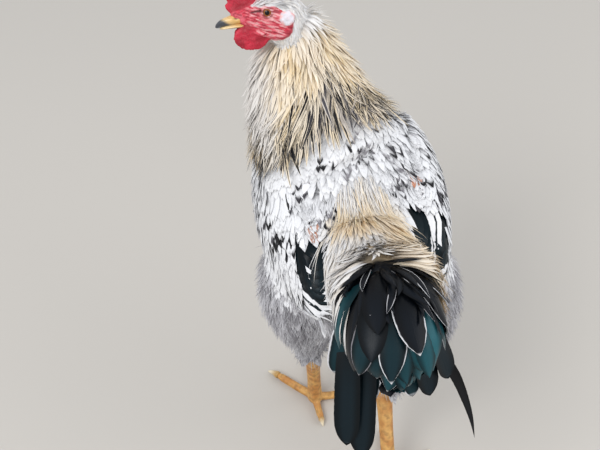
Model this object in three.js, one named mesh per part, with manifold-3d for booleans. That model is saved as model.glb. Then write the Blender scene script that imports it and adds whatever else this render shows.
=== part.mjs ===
// A life-size standing cockerel, head turned to its left, in mid-step.
// Millimetres, +Z up. The bird faces -Y and its left side is +X. The floor is at Z = 0.
//
// Every fleshy or feathered mass is a loft: rings of a superellipse carried along a smooth line through
// a few stations. A station is [x, y, z, half width, reach above, reach below] of its ring.
// The masses are parted from each other by thin cuts, each one cut back from those listed before it.
import * as THREE from "three";
import Module from "manifold-3d";
import { mergeVertices } from "three/addons/utils/BufferGeometryUtils.js";

const wasm = await Module();
wasm.setup();

// ---------------------------------------------------------------- driving dimensions
const GAP = 0.4; // clearance left by every thin cut
const WING_DEPTH = 9; // how far a folded wing stands off the trunk
const FLOOR_CUT = 60; // depth of the block that flattens the soles
const FAR = 900; // beyond the bird on every side, for the blocks that cut it

// Trunk, from the breast to the rump.
const TRUNK = [
  [-9, -154, 300, 34, 40, 40],
  [-9, -126, 299, 72, 62, 60],
  [-8, -88, 296, 86, 72, 82],
  [-6.5, -36, 290, 87, 66, 94],
  [-4.5, 16, 285, 76, 60, 87],
  [0, 64, 285, 58, 54, 78],
  [4, 114, 292, 44, 40, 56],
];

// Neck with its hackle, from the shoulders to the nape.
const NECK = [
  [5, -66, 330, 74, 64, 60],
  [15, -84, 354, 67, 56, 53],
  [24.5, -99, 384, 55.5, 50, 46],
  [30.5, -108, 416, 48.5, 44, 41],
  [31, -111, 442, 39.5, 37, 34],
  [29, -112, 466, 28, 28, 26],
  [25, -112, 488, 17, 20, 19],
];
const NECK_SPLIT = 408; // height of the cut between the upper and the lower neck

// Folded wings, from the shoulder to the tip. Each is the part of a thickened trunk inside this oval.
const WING_LEFT = [
  [66, -134, 322, 40, 24, 24],
  [74, -96, 314, 42, 44, 44],
  [74, -40, 300, 42, 46, 46],
  [62, 18, 292, 40, 36, 34],
  [46, 76, 282, 32, 18, 16],
];
const WING_RIGHT = [
  [-84, -134, 322, 40, 24, 24],
  [-90, -96, 314, 42, 44, 44],
  [-90, -40, 300, 42, 46, 48],
  [-74, 18, 292, 40, 36, 38],
  [-48, 72, 282, 34, 20, 18],
];

// Saddle and tail coverts, from the rump over the arch and down.
const TAIL_DOME = [
  [-4, 34, 294, 50, 34, 44],
  [-2, 66, 313, 50, 37, 45],
  [1, 97, 328, 48, 42, 46],
  [4, 128, 328, 46, 40, 42],
  [6, 153, 316, 42, 31, 34],
  [5, 169, 294, 35, 18, 22],
];

// Feathered thighs, from inside the trunk down to the hock.
const THIGH_LEFT = [
  [32, -12, 276, 46, 58, 54],
  [43, -14, 240, 50, 58, 54],
  [47, -16, 202, 46, 54, 50],
  [47, -17, 164, 34, 40, 38],
  [43, -15, 130, 23, 27, 26],
  [39, -12, 98, 12.5, 13, 13],
];
const THIGH_RIGHT = [
  [-42, 2, 276, 46, 54, 52],
  [-54, 9, 240, 49, 53, 52],
  [-59, 19, 202, 47, 50, 47],
  [-54, 33, 162, 36, 37, 36],
  [-41, 41, 124, 24, 25, 25],
  [-29, 42, 90, 12.5, 12.5, 13],
];

// Scaled shanks, from the hock to the ball of the foot.
const SHANK_LEFT = [
  [39, -10, 114, 9, 10, 9],
  [38.5, -13, 98, 9.4, 10, 9.5],
  [36.4, -19, 66, 8, 8.6, 8],
  [34.6, -20.5, 34, 8, 8.4, 8],
  [33.6, -19, -4, 9.4, 9.5, 9.5],
];
const SHANK_RIGHT = [
  [-29.5, 33, 102, 9, 10, 9],
  [-28.5, 42, 88, 9.4, 10, 9.5],
  [-26, 66, 60, 8, 8.6, 8],
  [-23.6, 90, 31, 8, 8.4, 8],
  [-22, 108, -4, 9.4, 9.5, 9.5],
];

// Toes: number, heading in degrees outward from straight ahead, length to the claw's tip, thickness
// and how far the root stands up over the pad.
const TOES_LEFT = [
  { number: 1, heading: 182, length: 38, radius: 4.6, rise: 9 },
  { number: 2, heading: -92, length: 52, radius: 5.2, rise: 4 },
  { number: 3, heading: -9, length: 76, radius: 5.6, rise: 4 },
  { number: 4, heading: 42, length: 70, radius: 5.2, rise: 4 },
];
const TOES_RIGHT = [
  { number: 1, heading: 172, length: 38, radius: 4.6, rise: 9 },
  { number: 2, heading: -46, length: 54, radius: 5.2, rise: 4 },
  { number: 3, heading: 10, length: 76, radius: 5.6, rise: 4 },
  { number: 4, heading: 60, length: 68, radius: 5.2, rise: 4 },
];
const CLAW_SHARE = 0.2; // share of a toe's length that is claw
const TOE = {
  height: 4.5, // height of a toe's middle above the floor
  overlap: 0.04, // share of its length by which a toe runs on under its claw
  taper: 0.18, // how much thinner a toe is at its tip
  clawTaper: 0.78, // how much thinner a claw is at its tip
  clawSlim: 0.9, // how soon a claw thins
  clawDrop: 1.6, // how late a claw turns down
  clawArch: 1.6, // how far the back of a claw rises
  tipHeight: -0.5, // height of a claw's tip
  rootSpan: 0.3, // share of its length over which a toe comes down from the ball of the foot
  rootFall: 1.5, // how soon it does
};

// The head turns, nods and tilts about the middle of the line between the eyes.
const HEAD_PLACE = new THREE.Vector3(60, -117, 487);
const HEAD_TURN = THREE.MathUtils.degToRad(80);
const HEAD_NOD = THREE.MathUtils.degToRad(1);
const HEAD_TILT = THREE.MathUtils.degToRad(-24);

// Head, from the nape to the root of the bill, in the head's own frame.
const SKULL = [
  [0, 31, -6, 13, 14, 14],
  [0, 19, -5, 16, 19.5, 17],
  [0, 4, -4, 15.4, 20, 16],
  [0, -11, -5, 12.4, 16, 13],
  [0, -21, -6.5, 9.2, 10.5, 10],
  [0, -28, -8, 7, 6.5, 7],
];
const THROAT = [
  [0, 25, -13, 12.5, 9, 13],
  [0, 14, -20, 12.5, 10, 13],
  [0, -4, -18, 10, 8, 9],
  [0, -17, -14.5, 7, 5, 5.5],
];
const BILL_UPPER = [
  [0, -22, -6, 6.8, 5.2, 4.2],
  [0, -33, -7.4, 5.6, 5.2, 3.8],
  [0, -42, -10, 3.8, 4.4, 2.8],
  [0, -47.5, -14.6, 1.6, 2, 1.8],
];
const BILL_LOWER = [
  [0, -18, -13.2, 6, 2, 3],
  [0, -31, -14, 4.8, 1.5, 2.6],
  [0, -44, -15.8, 2.2, 0.9, 1.5],
];
const EYE = { at: [9.9, 0, 0], half: [6.3, 6.3, 6.3] };
const COMB = {
  middle: [-3, -3], // centre of the fan of points, along and up
  from: 166, // heading of the front edge, in degrees above straight back
  to: 28, // heading of the blade behind
  front: [[-22, -3.2], [-35.5, -1.4], [-38.6, 5.2], [-35.2, 7.2]], // the edge that lies on the bill
  valley: 31, // radius of the notches
  tips: [39, 44, 48, 49, 47, 43],
  root: 13, // radius of the edge sunk in the head
  rootStep: 40, // degrees between the corners of that edge
  thick: 5.4,
  bevel: 1.2,
  lean: 0.05, // how far back of the middle of its share of the fan each point stands
  blunt: 0.12, // half the width of a point's end, as a share of its step
  back: 4, // how far the rear corners stand off the last notch
  thickness: { root: 1.3, loss: 0.75, from: 14, to: 46 }, // share of thick, and the radii it falls between
};
const WATTLE = { at: [7, -15.5, -23], half: [2.6, 16, 11.5] };
const LOBE = { at: [15.4, 17, -5], half: [2.7, 6.4, 6.8] };

// Main tail feathers: the side place of each vane's root, its tip and its half width. The first of each
// side is kept whole, and each one after it is cut back from those before.
const VANE = {
  thick: 0.8, // half thickness
  sag: 12, // how far it bows up over the straight line to its tip
  root: [104, 314], // how far back and how high the roots lie
  shares: [0, 0.3, 0.6, 0.85, 1], // where its widths are given
  narrow: 0.55, // share of the half width at the root
  swell: 0.8, // how far along it is widest, and how soon
  roll: 0.35, // radians by which it leans outward
  fan: 0.5, // radians more for the outermost vane
  spread: 54, // how far out that one's tip is
};
const TAIL_LEFT = [
  { root: 34, tip: [49.5, 171, 216], half: 12 },
  { root: 20, tip: [38, 180, 208], half: 12.5 },
  { root: 12, tip: [27, 154, 250], half: 10.5 },
  { root: 36, tip: [51, 128, 268], half: 9 },
];
const TAIL_RIGHT = [
  { root: -16, tip: [-27, 163, 260], half: 12 },
  { root: -26, tip: [-46, 154, 268], half: 12 },
  { root: -6, tip: [-11, 162, 262], half: 11 },
];
const SICKLE_ACROSS = new THREE.Vector3(0.93, 0.36, 0);
const SICKLE = [
  [-40, 118, 302, 5.6, 0.9, 0.9],
  [-49, 132, 268, 5.2, 0.9, 0.9],
  [-60, 141, 245, 4.8, 0.9, 0.9],
  [-68, 151, 222, 4, 0.8, 0.8],
  [-72.5, 162, 204, 2.9, 0.7, 0.7],
  [-74, 173, 189, 1.3, 0.6, 0.6],
];

// ---------------------------------------------------------------- materials
const finish = (color, roughness) => new THREE.MeshStandardMaterial({ color, roughness, metalness: 0 });
const FINISH = {
  white: finish(0xe9e6e0, 0.8),
  cream: finish(0xe6d3ac, 0.75),
  grey: finish(0xb4b1b3, 0.85),
  black: finish(0x14201f, 0.35),
  red: finish(0xc22f3d, 0.55),
  lobe: finish(0xe8dcdc, 0.6),
  horn: finish(0xc9a45c, 0.4),
  eye: finish(0xb5703a, 0.1),
  leg: finish(0xcf9a3e, 0.5),
  claw: finish(0xd8c9a8, 0.4),
};

// ---------------------------------------------------------------- lofts
const side = new THREE.Vector3(1, 0, 0);

// The station values at share t of the way along, as a smooth curve through them.
function stationCurve(stations) {
  const line = (pick) => {
    const spots = stations.map((s) => new THREE.Vector3(...pick(s)));
    return new THREE.CatmullRomCurve3(spots, false, "catmullrom", 0.5);
  };
  const middle = line((s) => s.slice(0, 3));
  const reach = line((s) => s.slice(3, 6));
  return {
    at: (t) => middle.getPoint(t),
    reach: (t) => reach.getPoint(t),
    along: (t) => middle.getTangent(t),
  };
}

// A closed loft through the stations. caps are the shares of its length that round off to each end.
// The rings stand closer together towards both ends, and the first is the share POLE in from the end.
const POLE = 0.006;
function loft(stations, { around, steps, caps, grow = 0, power = 2, across = side }) {
  const curve = stationCurve(stations);
  const points = [];
  const ringAt = (t) => {
    const tangent = curve.along(t);
    const right = across.clone().addScaledVector(tangent, -across.dot(tangent)).normalize();
    const up = new THREE.Vector3().crossVectors(right, tangent);
    const middle = curve.at(t).addScaledVector(tangent, grow * (2 * t - 1));
    const [half, above, below] = curve.reach(t).toArray();
    const front = Math.min(1, t / caps[0]);
    const back = Math.min(1, (1 - t) / caps[1]);
    const round = Math.sqrt((1 - (1 - front) ** 2) * (1 - (1 - back) ** 2));
    for (let i = 0; i < around; i++) {
      const turn = (2 * Math.PI * i) / around;
      const bent = (x) => Math.sign(x) * Math.abs(x) ** (2 / power);
      const x = bent(Math.cos(turn)) * (half * round + grow);
      const y = bent(Math.sin(turn)) * ((Math.sin(turn) > 0 ? above : below) * round + grow);
      points.push(middle.clone().addScaledVector(right, x).addScaledVector(up, y));
    }
  };
  for (let k = 0; k < steps; k++) {
    const share = 0.5 * (1 - Math.cos((Math.PI * k) / (steps - 1)));
    ringAt(POLE + (1 - 2 * POLE) * share);
  }
  const first = points.push(curve.at(0).addScaledVector(curve.along(0), -grow)) - 1;
  const last = points.push(curve.at(1).addScaledVector(curve.along(1), grow)) - 1;
  const faces = [];
  for (let k = 0; k < steps - 1; k++)
    for (let i = 0; i < around; i++) {
      const [a, b] = [k * around + i, k * around + ((i + 1) % around)];
      faces.push(a, a + around, b, b, a + around, b + around);
    }
  for (let i = 0; i < around; i++) {
    const j = (i + 1) % around;
    faces.push(first, i, j, last, (steps - 1) * around + j, (steps - 1) * around + i);
  }
  const geometry = new THREE.BufferGeometry().setFromPoints(points);
  geometry.setIndex(faces);
  return solidOf(geometry);
}

// A ball stretched to half sizes, about a middle.
function ball(middle, half, grow = 0, [around, rings] = [12, 7]) {
  const geometry = new THREE.SphereGeometry(1, around, rings);
  geometry.scale(...half.map((h) => h + grow)).translate(...middle);
  return solidOf(geometry);
}

// ---------------------------------------------------------------- solids
const WELD = 1e-4; // corners closer than this are one

function manifoldOf(geometry) {
  return new wasm.Manifold(
    new wasm.Mesh({
      numProp: 3,
      vertProperties: new Float32Array(geometry.attributes.position.array),
      triVerts: new Uint32Array(geometry.index.array),
    }),
  );
}

// The solid inside a closed surface, whichever way round its faces are given.
function solidOf(geometry) {
  const bare = geometry.clone();
  bare.deleteAttribute("normal");
  bare.deleteAttribute("uv");
  const merged = mergeVertices(bare, WELD);
  const made = manifoldOf(merged);
  if (made.volume() > 0) return made;
  for (let i = 0; i < merged.index.count; i += 3) {
    const held = merged.index.getX(i + 1);
    merged.index.setX(i + 1, merged.index.getX(i + 2));
    merged.index.setX(i + 2, held);
  }
  return manifoldOf(merged);
}

const joined = (solids) => solids.reduce((a, b) => a.add(b));
const largest = (solid) => solid.decompose().reduce((a, b) => (a.volume() > b.volume() ? a : b));

function block(low, high) {
  const size = high.map((h, i) => h - low[i]);
  const middle = high.map((h, i) => (h + low[i]) / 2);
  return solidOf(new THREE.BoxGeometry(...size).translate(...middle));
}

function geometryOf(solid) {
  const mesh = solid.getMesh();
  const geometry = new THREE.BufferGeometry();
  geometry.setAttribute("position", new THREE.BufferAttribute(new Float32Array(mesh.vertProperties), 3));
  geometry.setIndex(new THREE.BufferAttribute(new Uint32Array(mesh.triVerts), 1));
  geometry.computeVertexNormals();
  return geometry;
}

// ---------------------------------------------------------------- body masses
const trunk = (grow = 0) => loft(TRUNK, { around: 20, steps: 14, caps: [0.22, 0.22], grow, power: 2.15 });
const neck = (grow = 0) => loft(NECK, { around: 18, steps: 10, caps: [0.05, 0.14], grow });
const dome = (grow = 0) => loft(TAIL_DOME, { around: 16, steps: 11, caps: [0.1, 0.26], grow, power: 2.3 });
const thigh = (stations, grow = 0) => loft(stations, { around: 14, steps: 9, caps: [0.15, 0.12], grow });
const shank = (stations, grow = 0) => loft(stations, { around: 10, steps: 8, caps: [0.12, 0.1], grow });

// A folded wing is the trunk's own side, thickened, within a long oval from the shoulder to the tip.
function wing(outline, grow = 0) {
  const oval = loft(outline, { around: 12, steps: 9, caps: [0.2, 0.3], grow });
  return largest(oval.intersect(trunk(WING_DEPTH + grow)).subtract(trunk(GAP - grow)));
}

// A tail vane: a thin blade that leaves its root along the tail's line and sags to its tip.
function vane({ root: place, tip, half }, hand, grow = 0) {
  const root = new THREE.Vector3(place, ...VANE.root);
  const end = new THREE.Vector3(...tip);
  const stations = VANE.shares.map((share) => {
    const at = root.clone().lerp(end, share);
    at.z += VANE.sag * 4 * share * (1 - share);
    const width = VANE.narrow + (1 - VANE.narrow) * Math.sin(Math.PI * VANE.swell * share ** VANE.swell);
    return [...at.toArray(), half * width, VANE.thick, VANE.thick];
  });
  const roll = hand * (VANE.roll + (VANE.fan * Math.abs(tip[0])) / VANE.spread);
  const across = new THREE.Vector3(Math.cos(roll), 0, -Math.sin(roll));
  return loft(stations, { around: 6, steps: 8, caps: [0.05, 0.18], grow, across });
}

// ---------------------------------------------------------------- feet
// The stations of a toe or claw, heading out from the ball of the foot, between two shares of its length.
function toeStations(foot, hand, { heading, length, radius, rise }, from, to) {
  const angle = THREE.MathUtils.degToRad(heading);
  const [dx, dy] = [hand * Math.sin(angle), -Math.cos(angle)];
  return [0, 0.33, 0.67, 1].map((step) => {
    const share = from + (to - from) * step;
    const claw = Math.max(0, (share - 1 + CLAW_SHARE) / CLAW_SHARE);
    const thin = radius * (1 - TOE.taper * share) * (1 - TOE.clawTaper * claw ** TOE.clawSlim);
    const root = rise * Math.max(0, 1 - share / TOE.rootSpan) ** TOE.rootFall;
    const arch = TOE.clawArch * claw * (1 - claw);
    const height = THREE.MathUtils.lerp(TOE.height, TOE.tipHeight, claw ** TOE.clawDrop) + root + arch;
    return [foot[0] + dx * length * share, foot[1] + dy * length * share, height, thin, thin, thin];
  });
}
function toePiece(foot, hand, toe, [from, to], grow = 0) {
  const angle = THREE.MathUtils.degToRad(toe.heading);
  const across = new THREE.Vector3(Math.cos(angle), hand * Math.sin(angle), 0);
  const stations = toeStations(foot, hand, toe, from, to);
  return loft(stations, { around: 7, steps: 6, caps: [0.06, 0.25], grow, across });
}

// ---------------------------------------------------------------- head, in its own frame
const skull = (grow = 0) => joined([
  loft(SKULL, { around: 14, steps: 9, caps: [0.2, 0.12], grow }),
  loft(THROAT, { around: 10, steps: 6, caps: [0.25, 0.25], grow }),
]);
const billUpper = (grow = 0) => loft(BILL_UPPER, { around: 10, steps: 8, caps: [0.1, 0.15], grow });
const billLower = (grow = 0) => loft(BILL_LOWER, { around: 8, steps: 6, caps: [0.1, 0.15], grow });
const onSide = ([x, y, z], hand) => [hand * x, y, z];
const eye = (hand, grow = 0) => ball(onSide(EYE.at, hand), EYE.half, grow);
const wattle = (hand, grow = 0) => ball(onSide(WATTLE.at, hand), WATTLE.half, grow);
const lobe = (hand, grow = 0) => ball(onSide(LOBE.at, hand), LOBE.half, grow, [10, 6]);

// The comb's outline is a fan of points over the crown, thinner towards the points.
function comb(grow = 0) {
  const spot = (degrees, radius) => {
    const angle = THREE.MathUtils.degToRad(degrees);
    const [along, up] = COMB.middle;
    return new THREE.Vector2(along + radius * Math.cos(angle), up + radius * Math.sin(angle));
  };
  const step = (COMB.from - COMB.to) / COMB.tips.length;
  const outline = COMB.front.map(([along, up]) => new THREE.Vector2(along, up));
  COMB.tips.forEach((tip, i) => {
    const middle = COMB.from - (i + 0.5 + COMB.lean) * step;
    outline.push(spot(middle + COMB.blunt * step, tip - 1), spot(middle - COMB.blunt * step, tip));
    if (i < COMB.tips.length - 1) outline.push(spot(COMB.from - (i + 1 + COMB.lean) * step, COMB.valley));
  });
  outline.push(spot(COMB.to - COMB.back, COMB.valley + COMB.back));
  outline.push(spot(COMB.to + COMB.back, COMB.root + 1.5 * COMB.back));
  const rootEnd = COMB.from - 25;
  for (let degrees = COMB.to + COMB.rootStep; degrees < rootEnd; degrees += COMB.rootStep)
    outline.push(spot(degrees, COMB.root));
  const blade = new THREE.ExtrudeGeometry(new THREE.Shape(outline), {
    depth: COMB.thick - 2 * COMB.bevel + 2 * grow,
    bevelThickness: COMB.bevel,
    bevelSize: COMB.bevel,
    bevelOffset: grow - COMB.bevel,
    bevelSegments: 1,
    curveSegments: 1,
  });
  blade.translate(0, 0, -(COMB.thick / 2 - COMB.bevel + grow));
  blade.applyMatrix4(new THREE.Matrix4().set(0, 0, 1, 0, 1, 0, 0, 0, 0, 1, 0, 0, 0, 0, 0, 1));
  const place = blade.attributes.position;
  const { root, loss, from, to } = COMB.thickness;
  for (let i = 0; i < place.count; i++) {
    const radius = Math.hypot(place.getY(i) - COMB.middle[0], place.getZ(i) - COMB.middle[1]);
    place.setX(i, place.getX(i) * (root - loss * THREE.MathUtils.smoothstep(radius, from, to)));
  }
  return solidOf(blade);
}

// ---------------------------------------------------------------- assembly
const cockerel = new THREE.Group();
const headGroup = new THREE.Group();
headGroup.position.copy(HEAD_PLACE);
headGroup.rotation.set(HEAD_NOD, HEAD_TILT, HEAD_TURN, "ZXY");
headGroup.updateMatrix();
cockerel.add(headGroup);

function show(group, name, solid, material) {
  const mesh = new THREE.Mesh(geometryOf(largest(solid)), material);
  mesh.name = name;
  group.add(mesh);
}
const hands = [["left", 1], ["right", -1]];

// Head: each piece is cut back from the harder ones before it.
const eyes = (grow) => joined(hands.map(([, hand]) => eye(hand, grow)));
const bill = (grow) => joined([billUpper(grow), billLower(grow)]);
const lobes = (grow) => joined(hands.map(([, hand]) => lobe(hand, grow)));
for (const [name, hand] of hands) {
  show(headGroup, `eye_${name}`, eye(hand), FINISH.eye);
  show(headGroup, `earlobe_${name}`, lobe(hand), FINISH.lobe);
}
show(headGroup, "beak_upper", billUpper(), FINISH.horn);
show(headGroup, "beak_lower", billLower().subtract(billUpper(GAP)), FINISH.horn);
show(headGroup, "comb", comb().subtract(bill(GAP)), FINISH.red);
const bareHead = skull().subtract(eyes(GAP)).subtract(bill(GAP)).subtract(lobes(GAP)).subtract(comb(GAP));
show(headGroup, "head", bareHead, FINISH.red);
const sideOf = {
  left: block([GAP / 2, -FAR, -FAR], [FAR, FAR, FAR]),
  right: block([-FAR, -FAR, -FAR], [-GAP / 2, FAR, FAR]),
};
for (const [name, hand] of hands) {
  const bareWattle = wattle(hand).intersect(sideOf[name]).subtract(skull(GAP)).subtract(bill(GAP));
  show(headGroup, `wattle_${name}`, bareWattle, FINISH.red);
}

// Neck, in two lengths, with a flat thin cut between them.
const wattles = (grow) => joined(hands.map(([, hand]) => wattle(hand, grow)));
const headParts = joined([skull(GAP), comb(GAP), lobes(GAP), bill(GAP), wattles(GAP)]);
const bareNeck = neck().subtract(headParts.transform(headGroup.matrix.elements));
const above = (height) => block([-FAR, -FAR, height], [FAR, FAR, FAR]);
const below = (height) => block([-FAR, -FAR, -FAR], [FAR, FAR, height]);
const lowerNeck = bareNeck.intersect(below(NECK_SPLIT - GAP / 2)).subtract(trunk(GAP));
show(cockerel, "neck_upper", bareNeck.intersect(above(NECK_SPLIT + GAP / 2)), FINISH.cream);
show(cockerel, "neck_lower", lowerNeck, FINISH.cream);

// Trunk and wings.
show(cockerel, "trunk", trunk(), FINISH.white);
for (const [name, outline] of [["left", WING_LEFT], ["right", WING_RIGHT]])
  show(cockerel, `wing_${name}`, wing(outline).subtract(neck(GAP)), FINISH.white);

// Tail: the covert dome over the main feathers, which hang down under it.
const wings = (grow) => wing(WING_LEFT, grow).add(wing(WING_RIGHT, grow));
show(cockerel, "tail_coverts", dome().subtract(trunk(GAP)).subtract(wings(GAP)), FINISH.black);
let tailCut = joined([dome(GAP), trunk(GAP), wings(GAP)]);
for (const [name, hand, feathers] of [["left", 1, TAIL_LEFT], ["right", -1, TAIL_RIGHT]])
  feathers.forEach((feather, i) => {
    show(cockerel, `tail_feather_${name}_${i + 1}`, vane(feather, hand).subtract(tailCut), FINISH.black);
    tailCut = tailCut.add(vane(feather, hand, GAP));
  });
const sickle = loft(SICKLE, { around: 8, steps: 10, caps: [0.05, 0.1], across: SICKLE_ACROSS });
show(cockerel, "tail_sickle_right", sickle.subtract(tailCut), FINISH.black);

// Legs: claws, toes and shank on each foot, then the feathered thigh.
const LEGS = [
  { name: "left", hand: 1, thighs: THIGH_LEFT, shanks: SHANK_LEFT, toes: TOES_LEFT },
  { name: "right", hand: -1, thighs: THIGH_RIGHT, shanks: SHANK_RIGHT, toes: TOES_RIGHT },
];
const floor = block([-FAR, -FAR, -FLOOR_CUT], [FAR, FAR, 0]);
const clawSpan = [1 - CLAW_SHARE, 1];
const toeSpan = [0, 1 - CLAW_SHARE + TOE.overlap];
for (const { name, hand, thighs, shanks, toes } of LEGS) {
  const foot = shanks[shanks.length - 1];
  let taken = shank(shanks, GAP).add(floor);
  for (const toe of toes) {
    const claw = toePiece(foot, hand, toe, clawSpan).subtract(floor);
    show(cockerel, `claw_${name}_${toe.number}`, claw, FINISH.claw);
    const bareToe = toePiece(foot, hand, toe, toeSpan).subtract(toePiece(foot, hand, toe, clawSpan, GAP));
    show(cockerel, `toe_${name}_${toe.number}`, bareToe.subtract(taken), FINISH.leg);
    taken = taken.add(toePiece(foot, hand, toe, toeSpan, GAP));
  }
  show(cockerel, `shank_${name}`, shank(shanks).subtract(floor), FINISH.leg);
  const thighCut = joined([shank(shanks, GAP), trunk(GAP), wings(GAP)]);
  show(cockerel, `thigh_${name}`, thigh(thighs).subtract(thighCut), FINISH.grey);
}

// The origin is on the floor, under the middle of the whole bird.
const box = new THREE.Box3().setFromObject(cockerel, true);
const middle = box.getCenter(new THREE.Vector3());
cockerel.position.set(-middle.x, -middle.y, -box.min.z);

export default cockerel;
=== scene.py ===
"""Life-size still model of a young cockerel in mid-step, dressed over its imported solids.

Shapes are written in millimetres in the bird's own frame: it faces -Y, its left is +X, +Z is up and
the floor is at zero. The head has a frame of its own about the middle of the line between the eyes,
with the bill towards -Y. placed() turns the bird's millimetres into the row's metres.
"""
import itertools
import logging
import math
from dataclasses import dataclass, field
from enum import Enum
from typing import Callable

import bpy
import numpy as np
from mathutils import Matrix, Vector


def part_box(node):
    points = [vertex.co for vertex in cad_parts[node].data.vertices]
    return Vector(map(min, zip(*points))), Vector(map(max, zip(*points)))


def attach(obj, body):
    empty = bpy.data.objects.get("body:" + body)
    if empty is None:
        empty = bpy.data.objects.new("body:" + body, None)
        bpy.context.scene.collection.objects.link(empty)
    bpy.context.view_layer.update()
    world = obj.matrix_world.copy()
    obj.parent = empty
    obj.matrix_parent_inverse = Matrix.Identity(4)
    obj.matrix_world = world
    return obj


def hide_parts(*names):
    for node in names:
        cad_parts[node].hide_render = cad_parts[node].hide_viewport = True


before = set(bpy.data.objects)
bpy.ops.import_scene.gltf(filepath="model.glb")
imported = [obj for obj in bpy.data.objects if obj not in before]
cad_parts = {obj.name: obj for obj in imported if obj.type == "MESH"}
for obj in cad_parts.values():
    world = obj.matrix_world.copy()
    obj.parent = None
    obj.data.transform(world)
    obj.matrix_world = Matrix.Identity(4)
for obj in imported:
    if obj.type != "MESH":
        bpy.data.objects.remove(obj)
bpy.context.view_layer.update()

import openvdb as vdb
from mathutils import Vector

log = logging.getLogger("cockerel")
MM = 0.001
BODY = "root"

# ---------------------------------------------------------------- driving shapes, as in the solids
# Stations of a loft: x, y, z of the middle, then half width, reach above and reach below.
TRUNK = [
    [-9, -154, 300, 34, 40, 40], [-9, -126, 299, 72, 62, 60], [-8, -88, 296, 86, 72, 82],
    [-6.5, -36, 290, 87, 66, 94], [-4.5, 16, 285, 76, 60, 87], [0, 64, 285, 58, 54, 78],
    [4, 114, 292, 44, 40, 56],
]
NECK = [
    [5, -66, 330, 74, 64, 60], [15, -84, 354, 67, 56, 53], [24.5, -99, 384, 55.5, 50, 46],
    [30.5, -108, 416, 48.5, 44, 41], [31, -111, 442, 39.5, 37, 34], [29, -112, 466, 28, 28, 26],
    [25, -112, 488, 17, 20, 19],
]
WING_LEFT = [
    [66, -134, 322, 40, 24, 24], [74, -96, 314, 42, 44, 44], [74, -40, 300, 42, 46, 46],
    [62, 18, 292, 40, 36, 34], [46, 76, 282, 32, 18, 16],
]
WING_RIGHT = [
    [-84, -134, 322, 40, 24, 24], [-90, -96, 314, 42, 44, 44], [-90, -40, 300, 42, 46, 48],
    [-74, 18, 292, 40, 36, 38], [-48, 72, 282, 34, 20, 18],
]
TAIL_DOME = [
    [-4, 34, 294, 50, 34, 44], [-2, 66, 313, 50, 37, 45], [1, 97, 328, 48, 42, 46], [4, 128, 328, 46, 40, 42],
    [6, 153, 316, 42, 31, 34], [5, 169, 294, 35, 18, 22],
]
THIGHS = {
    1: [
        [32, -12, 276, 46, 58, 54], [43, -14, 240, 50, 58, 54], [47, -16, 202, 46, 54, 50],
        [47, -17, 164, 34, 40, 38], [43, -15, 130, 23, 27, 26], [39, -12, 98, 12.5, 13, 13],
    ],
    -1: [
        [-42, 2, 276, 46, 54, 52], [-54, 9, 240, 49, 53, 52], [-59, 19, 202, 47, 50, 47],
        [-54, 33, 162, 36, 37, 36], [-41, 41, 124, 24, 25, 25], [-29, 42, 90, 12.5, 12.5, 13],
    ],
}
SHANKS = {
    1: [
        [39, -10, 114, 9, 10, 9], [38.5, -13, 98, 9.4, 10, 9.5], [36.4, -19, 66, 8, 8.6, 8],
        [34.6, -20.5, 34, 8, 8.4, 8], [33.6, -19, -4, 9.4, 9.5, 9.5],
    ],
    -1: [
        [-29.5, 33, 102, 9, 10, 9], [-28.5, 42, 88, 9.4, 10, 9.5], [-26, 66, 60, 8, 8.6, 8],
        [-23.6, 90, 31, 8, 8.4, 8], [-22, 108, -4, 9.4, 9.5, 9.5],
    ],
}
# Toes: number, heading in degrees outward from straight ahead, length, thickness, rise of the root.
TOES = {
    1: [[1, 182, 38, 4.6, 9], [2, -92, 52, 5.2, 4], [3, -9, 76, 5.6, 4], [4, 42, 70, 5.2, 4]],
    -1: [[1, 172, 38, 4.6, 9], [2, -46, 54, 5.2, 4], [3, 10, 76, 5.6, 4], [4, 60, 68, 5.2, 4]],
}
CLAW_SHARE = 0.2
TOE_END = 1.0 - CLAW_SHARE * 0.8  # the share of a toe's length where its skin ends under the claw
LEG_INSET = 0.2  # how far the bare legs' skin lies inside their solids
TOE_HEIGHT = 4.5
HANDS = {1: "left", -1: "right"}

# Head, in its own frame.
HEAD_PLACE = np.array([60.0, -117.0, 487.0])
HEAD_TURN, HEAD_NOD, HEAD_TILT = 80.0, 1.0, -24.0
HEAD_REACH = np.array([[-20, -42, -40], [20, 36, 52]])  # a box round the head, comb and wattles
SKULL = [
    [0, 31, -6, 13, 14, 14], [0, 19, -5, 16, 19.5, 17], [0, 4, -4, 15.4, 20, 16], [0, -11, -5, 12.4, 16, 13],
    [0, -21, -6.5, 9.2, 10.5, 10], [0, -28, -8, 7, 6.5, 7],
]
THROAT = [
    [0, 25, -13, 12.5, 9, 13], [0, 14, -20, 12.5, 10, 13], [0, -4, -18, 10, 8, 9], [0, -17, -14.5, 7, 5, 5.5],
]
BILL_UPPER = [
    [0, -22, -6, 6.8, 5.2, 4.2], [0, -33, -7.4, 5.6, 5.2, 3.8], [0, -42, -10, 3.8, 4.4, 2.8],
    [0, -47.5, -14.6, 1.6, 2, 1.8],
]
BILL_LOWER = [
    [0, -18, -13.2, 6, 2, 3], [0, -31, -14, 4.8, 1.5, 2.6], [0, -44, -15.8, 2.2, 0.9, 1.5],
]
EYE_SIDE, EYE_RADIUS = 9.9, 6.3
EYE_RINGS, EYE_AROUND = 41, 64
COMB_MIDDLE = np.array([-3.0, -3.0])
COMB_FROM, COMB_TO = 166.0, 28.0
COMB_FRONT = [[-22, -3.2], [-35.5, -1.4], [-38.6, 5.2], [-35.2, 7.2]]
COMB_VALLEY, COMB_ROOT, COMB_THICK = 31.0, 13.0, 5.4
COMB_TIPS = [39, 44, 48, 49, 47, 43]
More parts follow.
